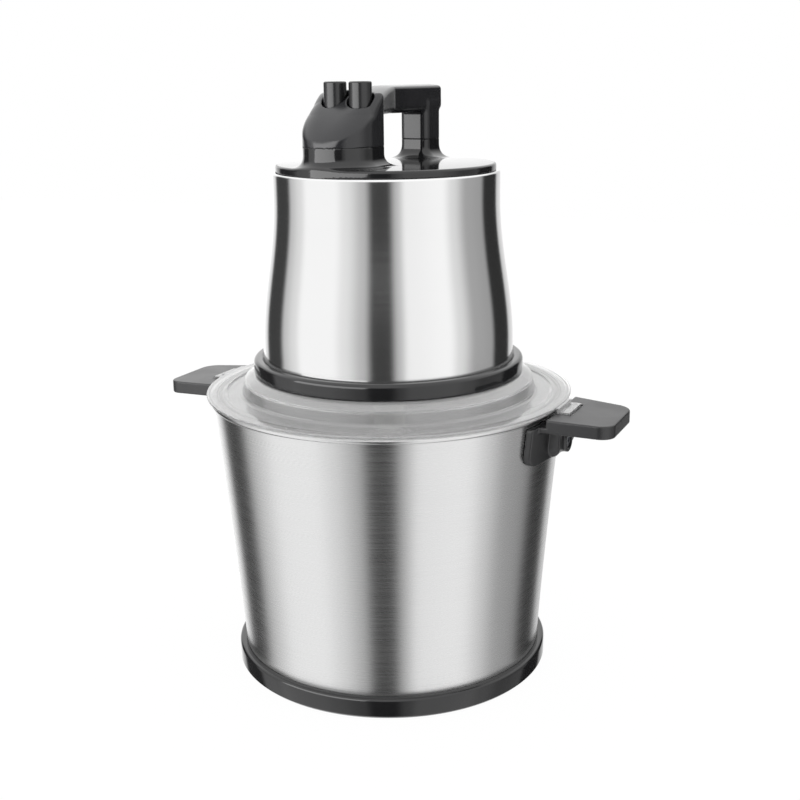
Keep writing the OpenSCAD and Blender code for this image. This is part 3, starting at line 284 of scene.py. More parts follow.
# %% Lathe helpers
def rounded(points, steps=6):
    """Rounds the corners of a closed outline. A point is (x, y) or (x, y, corner radius)."""
    made = []
    count = len(points)
    for i, point in enumerate(points):
        here = np.array(point[:2], float)
        radius = point[2] if len(point) > 2 else 0.0
        if radius <= 0:
            made.append(here)
            continue
        before = np.array(points[i - 1][:2], float) - here
        after = np.array(points[(i + 1) % count][:2], float) - here
        before_length, after_length = np.linalg.norm(before), np.linalg.norm(after)
        before, after = before / before_length, after / after_length
        half = math.acos(max(-1.0, min(1.0, float(before @ after)))) / 2
        cut = min(radius / math.tan(half), 0.49 * before_length, 0.49 * after_length)
        radius = cut * math.tan(half)
        centre = here + (before + after) / np.linalg.norm(before + after) * (radius / math.sin(half))
        start, end = here + before * cut - centre, here + after * cut - centre
        swing = math.atan2(start[0] * end[1] - start[1] * end[0], float(start @ end))
        for k in range(steps + 1):
            a = swing * k / steps
            turn = np.array([[math.cos(a), -math.sin(a)], [math.sin(a), math.cos(a)]])
            made.append(centre + turn @ start)
    return made


def finish_mesh(name, vertices, faces, material, sharp_degrees=35):
    """An object from vertices in millimetres, smooth shaded except at sharp edges."""
    mesh = bpy.data.meshes.new(name)
    mesh.from_pydata([tuple(float(c) * MM for c in v) for v in vertices], [], faces)
    piece = bpy.data.objects.new(name, mesh)
    scene.collection.objects.link(piece)
    tidy_mesh(piece, sharp_degrees)
    mesh.materials.append(material)
    return piece


def tidy_mesh(piece, sharp_degrees=35):
    """Merges doubles, points the faces outwards and shades the mesh smooth except at sharp edges."""
    made = bmesh.new()
    made.from_mesh(piece.data)
    bmesh.ops.remove_doubles(made, verts=made.verts, dist=1e-6)
    bmesh.ops.recalc_face_normals(made, faces=made.faces)
    made.to_mesh(piece.data)
    made.free()
    piece.data.shade_smooth()
    piece.data.set_sharp_from_angle(angle=math.radians(sharp_degrees))


def turned(name, outline, material, segments=192):
    """Turns a closed outline of (radius, height) points round the Z axis."""
    ring = [(max(0.0, float(r)), float(z)) for r, z in outline]
    vertices = []
    for s in range(segments):
        a = 2 * math.pi * s / segments
        vertices += [(r * math.cos(a), r * math.sin(a), z) for r, z in ring]
    faces = []
    count = len(ring)
    for s in range(segments):
        here, there = s * count, ((s + 1) % segments) * count
        for k in range(count):
            n = (k + 1) % count
            if ring[k][0] == 0 and ring[n][0] == 0:
                continue
            faces.append((here + k, there + k, there + n, here + n))
    return finish_mesh(name, vertices, faces, material)


def hand_in(piece, body, *nodes):
    """Lets a piece ride on its body and stand for its CAD nodes."""
    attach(piece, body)
    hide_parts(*nodes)
    print(piece.name, "-", len(piece.data.polygons), "faces, on", body)


# %% [markdown]
# ### Bowl
#
# The bowl is deep drawn from 1.2 mm stainless sheet. Its wall opens slightly towards the top, the floor meets
# it in a radius, and the rim is rolled outwards into a bead, which makes it stiff and safe to hold. The
# outline runs up the outside, round the bead and back down the inside.

# %% Bowl shell and its bead
SPINDLE_HOLE_R = 4.1


def bowl_outline(corner=8.0, bead=2.0):
    low, high = FLOOR + corner, BOWL_TOP - bead
    corner_mid = bowl_radius(low) - corner
    heights = [low + (high - 3 - low) * k / 40 for k in range(1, 41)]

    def side(inset):
        arc = [(corner_mid + (corner - inset) * math.cos(a), low + (corner - inset) * math.sin(a))
               for a in [math.radians(-90 + 10 * k) for k in range(10)]]
        return arc + [(bowl_radius(z) - inset, z) for z in heights]

    bead_mid = bowl_radius(BOWL_TOP) - BOWL_WALL + bead
    roll = [(bead_mid + bead * math.cos(a), high + bead * math.sin(a))
            for a in [math.radians(-128 + 14 * k) for k in range(23)]]
    middle = [(SPINDLE_HOLE_R, FLOOR + BOWL_WALL), (SPINDLE_HOLE_R, FLOOR)]
    return middle + side(0.0) + roll + side(BOWL_WALL)[::-1]


bowl = turned("bowl", bowl_outline(), BOWL_STEEL, 256)
hand_in(bowl, "bowl", "bowl_shell")

# %% [markdown]
# ### Foot ring
#
# A black moulded ring carries the bowl. It stands out a little from the steel, and its top edge is well
# rounded, so a thin line of light runs along it.

# %% Foot ring
foot_seat = bowl_radius(16.0) + 0.05
foot_ring = turned("foot_ring_moulding", rounded([
    (foot_seat - 12, 0, 0.5), (123.5, 0, 1.2), (125.5, 2.2, 1.2), (125.5, 16, 3.2), (foot_seat, 16, 0.4),
    (foot_seat, FLOOR, 0.2), (foot_seat - 12, FLOOR, 0.4)]), GLOSS_BLACK)
hand_in(foot_ring, "bowl", "foot_ring")

# %% [markdown]
# ### Head ring and steel sleeve
#
# The head stands on a glossy black ring. The sleeve grows wider towards it in a long soft curve. At its top
# the sheet turns in over a 2 mm radius and ends under the top plate, which leaves a fine bright line there.
# Half a wave of a cosine gives the curve: it starts and ends upright, without a kink.

# %% Head ring and sleeve
SLEEVE_TOP_R, SLEEVE_GROWTH, SLEEVE_LIP_R = 86.4, 10.8, 80.3
CURVE_START, CURVE_LENGTH = 0.08, 0.8


def sleeve_radius(share):
    """Outer radius of the sleeve, from its foot at 0 to its top at 1."""
    t = min(1.0, max(0.0, (share - CURVE_START) / CURVE_LENGTH))
    return SLEEVE_TOP_R + SLEEVE_GROWTH * (0.5 + 0.5 * math.cos(math.pi * t))


def sleeve_outline(wall=1.0, low=RING_TOP - 2, roll=2.0):
    high = SLEEVE_TOP - roll
    steps = 48

    def quarter(radius, degrees):
        """Points of the roll at the top."""
        return [(SLEEVE_TOP_R - roll + radius * math.cos(a), high + radius * math.sin(a))
                for a in map(math.radians, degrees)]

    side = [(sleeve_radius(k / steps), low + (high - low) * k / steps) for k in range(steps + 1)]
    lip = [(SLEEVE_LIP_R, SLEEVE_TOP), (SLEEVE_LIP_R, SLEEVE_TOP - wall)]
    inside = [(r - wall, z) for r, z in side[::-1]]
    return side + quarter(roll, range(15, 91, 15)) + lip + quarter(roll - wall, (90, 60, 30)) + inside


sleeve = turned("steel_sleeve_sheet", sleeve_outline(), SLEEVE_STEEL, 256)
hand_in(sleeve, "head", "steel_sleeve")

ring = turned("head_ring_moulding", rounded([
    (90.2, HEAD_LOW, 0.3), (105.0, HEAD_LOW, 0.9), (105.0, RING_TOP, 4.2), (98.9, RING_TOP, 0.4),
    (97.4, RING_TOP - 1.2, 0.2), (97.25, RING_TOP - 2), (95.2, RING_TOP - 2), (95.2, HEAD_LOW + 3.5),
    (90.2, HEAD_LOW + 3.5)]), GLOSS_BLACK, 256)
hand_in(ring, "head", "head_ring")

# %% [markdown]
# ### Clear lid
#
# The lid is one clear moulding: a raised middle with a hole for the drive, a sloping step, a flat annulus,
# and a rim band that lies over the bowl's bead. A skirt with a groove for the sealing ring reaches into the
# bowl. The turned body and the two tabs at the side handles are joined by a boolean, so that no inner wall
# shows through the clear plastic.

# %% Lid
def block(name, low, high):
    """A plain box between two corners, in millimetres, used only to join."""
    (x0, y0, z0), (x1, y1, z1) = low, high
    corners = [(x, y, z) for z in (z0, z1) for y in (y0, y1) for x in (x0, x1)]
    faces = [(0, 2, 3, 1), (4, 5, 7, 6), (0, 1, 5, 4), (2, 6, 7, 3), (0, 4, 6, 2), (1, 3, 7, 5)]
    return finish_mesh(name, corners, faces, CLEAR)


def keep_modifiers(piece):
    """Replaces a piece's mesh by what its modifiers make, and takes the modifiers off."""
    shape = bpy.data.meshes.new_from_object(piece.evaluated_get(bpy.context.evaluated_depsgraph_get()))
    piece.modifiers.clear()
    old = piece.data
    piece.data = shape
    bpy.data.meshes.remove(old)


def unite(piece, tool):
    """Joins a tool to a piece by a boolean, and removes the tool."""
    step = piece.modifiers.new("union", "BOOLEAN")
    step.operation = "UNION"
    step.object = tool
    step.solver = "EXACT"
    keep_modifiers(piece)
    bpy.data.objects.remove(tool)


LID_WALL = 3.0
LID_PLAY = 0.9
LID_HOLE_R, LID_RIM_R = 45.0, 142.6
GROOVE_DEPTH, GROOVE_LOW, GROOVE_HIGH = 1.2, BOWL_TOP - 7, BOWL_TOP - 3
# Each tab: a root under the rim band, a rise at its edge, and the block that goes into the handle's pocket.
# Name, near and far end, half width, low and high.
TAB_PARTS = (("tab_root", 138.6, 144.6, 15.4, 221.4, 222.4),
             ("tab_rise", 142.9, 144.7, 15.45, 213.75, 222.1),
             ("tab_block", 144.3, 152.6, 15.5, 213.7, 219.8))
skirt = bowl_radius(BOWL_TOP - 9) - BOWL_WALL - LID_PLAY
groove = skirt - GROOVE_DEPTH
flat = BOWL_TOP + 1.6

lid = turned("lid_moulding", rounded([
    (LID_HOLE_R, LID_TOP - LID_WALL, 0.5), (LID_HOLE_R, LID_TOP, 0.8), (105, LID_TOP, 3.0),
    (113, LID_TOP - 4.7, 1.6), (114.6, flat, 3.0), (126.1, flat, 1.0), (127.8, BOWL_TOP + 2.9, 1.2),
    (LID_RIM_R, BOWL_TOP + 2.9, 1.3), (LID_RIM_R, BOWL_TOP + 1.3, 0.5), (140.6, BOWL_TOP + 1.3, 0.3),
    (139.6, BOWL_TOP + 0.3, 0.4), (skirt, BOWL_TOP + 0.3, 0.6), (skirt, GROOVE_HIGH, 0.2),
    (groove, GROOVE_HIGH, 0.2), (groove, GROOVE_LOW, 0.2), (skirt, GROOVE_LOW, 0.2),
    (skirt, BOWL_TOP - 9, 0.8), (skirt - 3, BOWL_TOP - 9, 0.8), (skirt - 3, flat - LID_WALL, 2.5),
    (115.4, flat - LID_WALL, 2.0), (111.6, flat + 1), (110.2, LID_TOP - 7.2, 2.0),
    (104.2, LID_TOP - LID_WALL, 2.0)]), CLEAR, 256)
for side in (-1, 1):
    for part, near, far, half, low, high in TAB_PARTS:
        low_x, high_x = sorted((side * near, side * far))
        unite(lid, block(part, (low_x, -half, low), (high_x, half, high)))
tidy_mesh(lid, 30)
hand_in(lid, "lid", "lid_cover", "lid_rim")

seal_in, seal_out = groove + 0.05, skirt + 0.5
seal = turned("lid_seal_ring", rounded([
    (seal_in, GROOVE_LOW, 0.3), (seal_out, GROOVE_LOW, 0.8), (seal_out, GROOVE_HIGH, 0.8),
    (seal_in, GROOVE_HIGH, 0.3)]), SILICONE)
hand_in(seal, "lid", "lid_seal")

# %% [markdown]
# ## Moulded pieces from distance fields
#
# The handles are injection mouldings: dome, grip and post flow into each other over soft radii, which is
# hard to get from boxes and bevels. A distance field makes it easy: a function that gives, for any point, how
# far it lies outside the form. A smooth minimum of two fields joins the forms with a fillet, and a smooth
# maximum cuts one with the other and rounds the edge. A net of small quads is laid through the zero level.

# %% Distance field helpers
def join_soft(a, b, k):
    """Smooth minimum: union with a fillet of about k."""
    h = np.maximum(k - np.abs(a - b), 0.0) / k
    return np.minimum(a, b) - h * h * k * 0.25


def cut_soft(a, b, k):
    """Smooth maximum: intersection with a rounded edge of about k."""
    return -join_soft(-a, -b, k)


def slab_field(x, low, high):
    """Distance outside the slab between two parallel planes."""
    return np.maximum(low - x, x - high)


def corner_field(dx, dy, corner):
    """Distance to a round corner, from the distances past the two lines on which its middle lies."""
    return np.hypot(np.maximum(dx, 0), np.maximum(dy, 0)) + np.minimum(np.maximum(dx, dy), 0) - corner


def box_field(x, y, half_x, half_y, corner):
    """Distance to a rectangle with round corners, in a plane."""
    return corner_field(np.abs(x) - half_x + corner, np.abs(y) - half_y + corner, corner)


def plane_field(y, z, through, normal):
    """Distance outside a plane that leans in y and z. The normal points outwards."""
    return (z - through[1]) * normal[1] + (y - through[0]) * normal[0]


def surface_net(field, low, high, step, rounds=4):
    """Vertices and quads on the zero level of a field, between two corners, on a grid of the given step.

    A crossed cell gets a vertex, and a crossed edge gets a quad between the four cells round it. A few Newton
    steps along the field's slope then bring the vertices onto the surface."""
    axes = [np.arange(low[i] - 2 * step, high[i] + 3 * step, step) for i in range(3)]
    values = field(*np.meshgrid(*axes, indexing="ij"))
    size = [len(a) - 1 for a in axes]
    total = np.zeros(size + [3])
    count = np.zeros(size)
    for axis in range(3):
        first, second = [a for a in range(3) if a != axis]
        for i in (0, 1):
            for j in (0, 1):
                start = [slice(0, n) for n in size]
                start[first] = slice(i, size[first] + i)
                start[second] = slice(j, size[second] + j)
                end = list(start)
                end[axis] = slice(1, size[axis] + 1)
                a, b = values[tuple(start)], values[tuple(end)]
                crossed = (a < 0) != (b < 0)
                share = np.where(crossed, a / np.where(a == b, 1, a - b), 0)
                total[..., axis] += share
                total[..., first] += crossed * i
                total[..., second] += crossed * j
                count += crossed
    active = count > 0
    number = np.full(size, -1)
    number[active] = np.arange(active.sum())
    places = np.argwhere(active) + total[active] / count[active][:, None]
    points = np.array([a[0] for a in axes]) + places * step
    quads = []
    inside = values < 0
    for axis in range(3):
        first, second = [(1, 2), (2, 0), (0, 1)][axis]
        near = [slice(1, -1)] * 3
        near[axis] = slice(0, -1)
        far = list(near)
        far[axis] = slice(1, None)
        a, b = inside[tuple(near)], inside[tuple(far)]
        for out, order in ((a & ~b, 1), (~a & b, -1)):
            cell = np.argwhere(out)
            cell[:, [c for c in range(3) if c != axis]] += 1
            around = []
            for da, db in ((-1, -1), (0, -1), (0, 0), (-1, 0))[::order]:
                corner = cell.copy()
                corner[:, first] += da
                corner[:, second] += db
                around.append(number[tuple(corner.T)])
            quads.append(np.stack(around, 1))
    reach, longest = 0.05 * step, 0.5 * step
    for _ in range(rounds):
        here = field(*points.T)
        slope = np.stack([field(*(points + reach * way).T) - field(*(points - reach * way).T)
                          for way in np.eye(3)], 1) / (2 * reach)
        steepness = np.maximum((slope ** 2).sum(1), 1e-6)
        move = -slope * (here / steepness)[:, None]
        far = np.linalg.norm(move, axis=1)
        points += move * np.minimum(1, longest / np.maximum(far, 1e-9))[:, None]
    return points, np.concatenate(quads)


def moulded(name, field, low, high, step, material, turn=0.0):
    """A piece from a distance field in millimetres, turned about the Z axis."""
    points, quads = surface_net(field, low, high, step)
    c, s = math.cos(turn), math.sin(turn)
    x, y, z = points.T
    return finish_mesh(name, np.stack([x * c - y * s, x * s + y * c, z], 1), quads.tolist(), material, 60)


# %% [markdown]
# ### Head handle
#
# The dome in front holds the switches under the two buttons. Seen from above it is half round in front and
# straight at the sides, with a flat back. Its front leans back above a vertical foot: two planes with a wide
# soft edge between them, the brow and the slope, cut the upright form. The edge towards the sides is softest
# in front and near the top. A moat round each button lets it sink in. Behind the dome a web narrows to the
# grip, and the grip ends in the post.

# %% Fields of the handle, in the head's own frame
DOME_HALF, DOME_MID, DOME_BACK, DOME_TOP = 27.5, -52.5, -36.0, 449.9
GRIP_HALF, GRIP_LOW, GRIP_TOP = 12.5, 432.0, 452.5
GRIP_CHAMFER, WEB_GROWTH, WEB_DROP = 3.6, 13.5, 2.6
POST_FRONT, POST_BACK, POST_CORNER = 48.2, 72.9, 5.5
BROW, BROW_NORMAL = (-78.5, 418.0), (-0.848, 0.530)
SLOPE, SLOPE_NORMAL = (-66.0, 432.9), (-0.539, 0.842)
EDGE_BACK, EDGE_GROWTH = 4.0, 10.0
MOAT_R, MOAT_FLOOR = 9.9, 435.0
SEAM_HALF, SEAM_EDGE = 0.05, 0.35


def dome_plan(x, y):
    """The dome seen from above."""
    front = np.hypot(x, np.minimum(y - DOME_MID, 0)) - DOME_HALF
    return cut_soft(front, y - DOME_BACK, 3.0)


def dome_field(x, y, z):
    front = cut_soft(plane_field(y, z, BROW, BROW_NORMAL), plane_field(y, z, SLOPE, SLOPE_NORMAL), 12.0)
    crown = cut_soft(front, z - DOME_TOP, 6.0)
    forward = np.clip((DOME_BACK - 1 - y) / 14.0, 0.0, 1.0)
    upward = np.clip((z - 409.0) / 24.0, 0.3, 1.0)
    body = cut_soft(dome_plan(x, y), crown, (EDGE_BACK + EDGE_GROWTH * forward) * upward)
    for bx, by in BUTTONS:
        moat = np.maximum(np.hypot(x + HANDLE_SHIFT - bx, y - by) - MOAT_R, MOAT_FLOOR - z)
        body = cut_soft(body, -moat, 0.8)
    return body


def grip_field(x, y, z):
    """The grip and the web. The reach grows from 0 on the grip to 1 at the dome's back."""
    reach = np.clip((3.0 - y) / (3.0 - DOME_BACK), 0.0, 1.0)
    half = GRIP_HALF + WEB_GROWTH * reach ** 1.1
    side = (np.abs(x) - half) * 0.92
    top = z - (GRIP_TOP - 0.008 * x * x - WEB_DROP * reach ** 1.5)
    under = GRIP_LOW - z
    chamfer = (np.abs(x) - half + under + GRIP_CHAMFER) * 0.707
    bar = cut_soft(cut_soft(side, top, 2.6), cut_soft(under, chamfer, 1.2), 1.2)
    return cut_soft(bar, slab_field(y, DOME_BACK - 3, POST_BACK), 2.0)


def post_field(x, y, z):
    middle, half = (POST_FRONT + POST_BACK) / 2, (POST_BACK - POST_FRONT) / 2
    plan = box_field(x, y - middle, GRIP_HALF - 0.2, half, POST_CORNER)
    return cut_soft(plan, z - (GRIP_LOW + 8), 2.0)


def handle_field(x, y, z):
    arm = join_soft(grip_field(x, y, z), post_field(x, y, z), 2.5)
    return join_soft(dome_field(x, y, z), arm, 2.0)


def upper_shell(x, y, z):
    return cut_soft(handle_field(x - HANDLE_SHIFT, y, z), PARTING + SEAM_HALF - z, SEAM_EDGE)


handle = moulded("handle_moulding", upper_shell, (-34, -82, 409), (24, 75, 456), 0.7, SEMI_BLACK,
                 HEAD_TURN)
hand_in(handle, "head", "handle_shell")

# %% [markdown]
# ### Top plate
#
# The glossy plate closes the sleeve and carries the lower halves of the dome and the post, up to the parting
# line. Both flare out where they meet the plate: the fillet lets the plastic flow and keeps the corner from
# cracking. The plate itself is slightly crowned, so that water runs off and the shine isn't flat.

# %% Top plate
PLATE_R, PLATE_CROWN = 83.3, 1.2
DOME_FILLET, POST_FILLET = 9.0, 11.0


def plate_field(x, y, z):
    r = np.hypot(x, y)
    top = z - (PLATE_TOP + PLATE_CROWN * (1 - (r / PLATE_R) ** 2))
    plate = cut_soft(cut_soft(r - PLATE_R, top, 2.4), SLEEVE_TOP - z, 0.5)
    hx, seam = x - HANDLE_SHIFT, z - (PARTING - SEAM_HALF)
    dome = cut_soft(dome_plan(hx, y), seam, SEAM_EDGE)
    post = cut_soft(post_field(hx, y, z), seam, SEAM_EDGE)
    return join_soft(join_soft(plate, dome, DOME_FILLET), post, POST_FILLET)


plate = moulded("top_plate_moulding", plate_field, (-84, -84, 390), (84, 84, 411.5), 0.85, GLOSS_BLACK,
                HEAD_TURN)
hand_in(plate, "head", "top_cover")

# %% [markdown]
# ### Push buttons
#
# Each button is a turned cap with a softly rounded edge. It runs in a guide below, where a flange keeps it in,
# and a thin rod at its middle reaches down to the switch through the spring.

# %% Buttons
ROD_R, ROD_LOW = 1.8, 407.3
FLANGE_R, FLANGE_LOW, FLANGE_HIGH = 9.6, 428.5, 431.1
CAP_R, CAP_TOP = 8.3, 456.0


def button_outline():
    """Rod, flange, cap, and a top that is very slightly hollow for the fingertip."""
    return rounded([
        (0, ROD_LOW), (ROD_R, ROD_LOW), (ROD_R, FLANGE_LOW, 0.2), (FLANGE_R, FLANGE_LOW, 0.3),
        (FLANGE_R, FLANGE_HIGH, 0.3), (CAP_R + 0.1, FLANGE_HIGH, 0.3), (CAP_R, CAP_TOP, 1.3),
        (CAP_R - 2.9, CAP_TOP - 0.1, 1.0), (0, CAP_TOP - 0.4)])


for (bx, by), label in zip(BUTTONS, ("low", "high")):
    cap = turned("button_cap_" + label, button_outline(), BUTTON_BLACK, 96)
    place = Matrix.Rotation(HEAD_TURN, 4, "Z") @ Matrix.Translation((bx * MM, by * MM, 0))
    cap.data.transform(place)
    hand_in(cap, label + "_button", "button_" + label)

# %% [markdown]
# ### Side handles
#
# A flat bar stands out from each side of the bowl, just under the lid. Its inner edge has a pocket for the
# lid's tab. A pad spreads over the bowl's wall, so that a pull on the bar can't dent the thin sheet, a column
# carries the bar, and a round boss takes the screw. The bar gets narrower and sinks a little towards its end.
# All that is joined first, and then the room for the wall, the rim, the tab and the screw is cut.

# %% Side handles
BAR_IN, BAR_OUT, BAR_CORNER = 142.0, 188.2, 11.0
BAR_TOP, BAR_THICK, BAR_SINK = 218.7, 10.0, 2.4
BAR_HALF, BAR_TAPER = 36.9, 6.0
PAD_HALF, PAD_MIDDLE, PAD_HALF_TALL, PAD_THICK, PAD_HIGH = 44.5, 201.2, 18.5, 5.0, 212.6
COLUMN_HALF, COLUMN_MIDDLE, COLUMN_HALF_TALL = 20.0, 198.7, 16.0
COLUMN_OUT, COLUMN_CORNER, FACE_HALF, FACE_MIDDLE = 147.0, 12.0, 30.0, 212.7
SCREW_Z, BOSS_R, BOSS_END, RECESS_R, RECESS_START = 194.7, 9.0, 148.5, 6.0, 144.5
RIM_OUT, RIM_FLOOR = 141.4, 212.8
POCKET_HALF, POCKET_OUT, POCKET_FLOOR = 16.4, 153.5, 212.7
WALL_GAP = 0.12


def side_handle_field(x, y, z):
    along = (x - BAR_IN) / (BAR_OUT - BAR_IN)
    top = z - (BAR_TOP - BAR_SINK * along)
    under = (BAR_TOP - BAR_THICK - BAR_SINK * along) - z
    half = BAR_HALF - BAR_TAPER * along
    plan = corner_field(x - BAR_OUT + BAR_CORNER, np.abs(y) - half + BAR_CORNER, BAR_CORNER)
    bar = cut_soft(plan, cut_soft(top, under, 1.0), 1.2)
    wall = bowl_radius(np.clip(z, 20, BOWL_TOP)) + WALL_GAP - np.hypot(x, y)
    pad = cut_soft(box_field(y, z - PAD_MIDDLE, PAD_HALF, PAD_HALF_TALL, 10.0),
                   np.maximum(-wall - PAD_THICK, z - PAD_HIGH), 1.2)
    face = box_field(x - COLUMN_OUT + FACE_HALF, z - FACE_MIDDLE, FACE_HALF, FACE_HALF, COLUMN_CORNER)
    column = cut_soft(box_field(y, z - COLUMN_MIDDLE, COLUMN_HALF, COLUMN_HALF_TALL, COLUMN_CORNER), face, 1.2)
    boss = cut_soft(np.hypot(y, z - SCREW_Z) - BOSS_R, x - BOSS_END, 1.2)
    body = join_soft(bar, column, 9.0)
    body = join_soft(join_soft(body, pad, 1.5), boss, 1.5)
    body = cut_soft(body, wall, 0.6)
    rim = np.maximum(x - RIM_OUT, RIM_FLOOR - z)
    pocket = np.maximum(np.maximum(np.abs(y) - POCKET_HALF, x - POCKET_OUT), POCKET_FLOOR - z)
    recess = np.maximum(np.hypot(y, z - SCREW_Z) - RECESS_R, RECESS_START - x)
    for room in (rim, pocket, recess):
        body = cut_soft(body, -room, 0.8)
    return body


for label, turn in (("right", 0.0), ("left", math.pi)):
    grip = moulded("side_handle_" + label, side_handle_field, (128, -47, 181), (189, 47, 220), 0.7, SATIN_BLACK,
                   turn)
    hand_in(grip, "bowl", "handle_" + label)

# %% [markdown]
# ## Repeated pieces with Geometry Nodes
#
# Balls in a bearing and turns of wire repeat one shape many times along a path, so a small tree of Geometry
# Nodes makes them. Each tree has named inputs, and its sizes come from the CAD node that the piece stands for.
# The result is kept as a plain mesh.

# %% Helpers for Geometry Nodes
def start_recipe(name, **inputs):
    """A tree with named number inputs. Returns the tree and its input sockets by name."""
    tree = bpy.data.node_groups.new(name, "GeometryNodeTree")
    tree.interface.new_socket("Geometry", in_out="OUTPUT", socket_type="NodeSocketGeometry")
    for label, value in inputs.items():
        kind = "NodeSocketInt" if isinstance(value, int) else "NodeSocketFloat"
        tree.interface.new_socket(label, in_out="INPUT", socket_type=kind).default_value = value
    return tree, tree.nodes.new("NodeGroupInput").outputs


def end_recipe(tree, geometry, material):
    """Realizes the instances, sets the material and closes the tree."""
    real = add(tree, "GeometryNodeRealizeInstances", {"Geometry": geometry})
    dressed = add(tree, "GeometryNodeSetMaterial", {"Geometry": real.outputs["Geometry"]}, Material=material)
    add(tree, "NodeGroupOutput", {"Geometry": dressed.outputs["Geometry"]})
    return tree


def calculate(tree, operation, first, second=0.0):
    """One Math node. Its inputs are sockets or numbers."""
    node = add(tree, "ShaderNodeMath", operation=operation)
    for slot_number, value in enumerate((first, second)):
        if isinstance(value, bpy.types.NodeSocket):
            tree.links.new(value, node.inputs[slot_number])
        else:
            node.inputs[slot_number].default_value = value
    return node.outputs[0]


def grown(name, tree, material, **values):
    """A plain mesh object made by a tree with the given values."""
    piece = finish_mesh(name, [(0, 0, 0)], [], material)
    step = piece.modifiers.new("recipe", "NODES")
    step.node_group = tree
    for socket in tree.interface.items_tree:
        if socket.in_out == "INPUT" and socket.name in values:
            step[socket.identifier] = values[socket.name]
    keep_modifiers(piece)
    tidy_mesh(piece)
    return piece


def node_box(node_name):
    """Inner radius, outer radius, low and high of a round CAD node, in millimetres."""
    node = frame["nodes"][node_name]
    x, y, z = np.array([tuple(node.matrix_world @ v.co) for v in node.data.vertices]).T / MM
    r = np.hypot(x, y)
    return float(r.min()), float(r.max()), float(z.min()), float(z.max())


def join_pieces(pieces):
    """Joins meshes into the first one."""
    made = bmesh.new()
    for piece in pieces:
        made.from_mesh(piece.data)
    made.to_mesh(pieces[0].data)
    made.free()
    for piece in pieces[1:]:
        bpy.data.objects.remove(piece)
    return pieces[0]


# %% [markdown]
# ### Ball bearings
#
# A deep groove bearing has two ground races with a groove each, and a row of balls between them. The tree puts
# one ball on each corner of a circle.

# %% Bearings
def ball_recipe(material):
    tree, inputs = start_recipe("row of balls", Count=8, Pitch=0.01, Ball=0.002, Height=0.0)
    circle = add(tree, "GeometryNodeMeshCircle", {"Vertices": inputs["Count"], "Radius": inputs["Pitch"]})
    ball = add(tree, "GeometryNodeMeshUVSphere", {"Radius": inputs["Ball"]}, Segments=20, Rings=12)
    row = add(tree, "GeometryNodeInstanceOnPoints",
              {"Points": circle.outputs["Mesh"], "Instance": ball.outputs["Mesh"]})
    up = add(tree, "ShaderNodeCombineXYZ", {"Z": inputs["Height"]})
    raised = add(tree, "GeometryNodeTransform",
                 {"Geometry": row.outputs["Instances"], "Translation": up.outputs[0]})
    return end_recipe(tree, raised.outputs["Geometry"], material)


BALL_COUNT, BALL_SHARE, GROOVE_PLAY, RACE_EDGE = 8, 0.28, 1.04, 0.4


def race_outline(wall, pitch, ball, low, high):
    """Outline of a race from its bore or outer face to the groove for the balls."""
    middle = (low + high) / 2
    reach = GROOVE_PLAY * ball
    side = 1 if wall < pitch else -1
    groove = [(pitch - side * reach * math.cos(a), middle + reach * math.sin(a))
              for a in [math.radians(56 - 14 * k) for k in range(9)]]
    face = groove[0][0]
    back = rounded([(wall, low, RACE_EDGE), (wall, high, RACE_EDGE), (face, high, RACE_EDGE)])
    return back + groove + [(face, low)]


balls = ball_recipe(GROUND)
for node_name in ("lower_bearing", "upper_bearing"):
    bore, outside, low, high = node_box(node_name)
    pitch, ball = (bore + outside) / 2, BALL_SHARE * (outside - bore)
    row = grown(node_name + "_balls", balls, GROUND, Count=BALL_COUNT, Pitch=pitch * MM, Ball=ball * MM,
                Height=(low + high) / 2 * MM)
    races = [turned(node_name + "_race", race_outline(wall, pitch, ball, low, high), GROUND, 96)
             for wall in (bore, outside)]
    hand_in(join_pieces(races + [row]), "head", node_name)

# %% [markdown]
# ### Armature winding
#
# The wire of the armature leaves the slots of the core at both ends and is bound into a ring there. The tree
# lays one long wire on the ring, turn beside turn, and sweeps a round section along it. The angle round the
# ring's section is the angle round the shaft times the number of turns.

# %% Winding
POINTS_PER_TURN = 18.0
WIRE_TURNS, WIRE_R = 64, 0.55


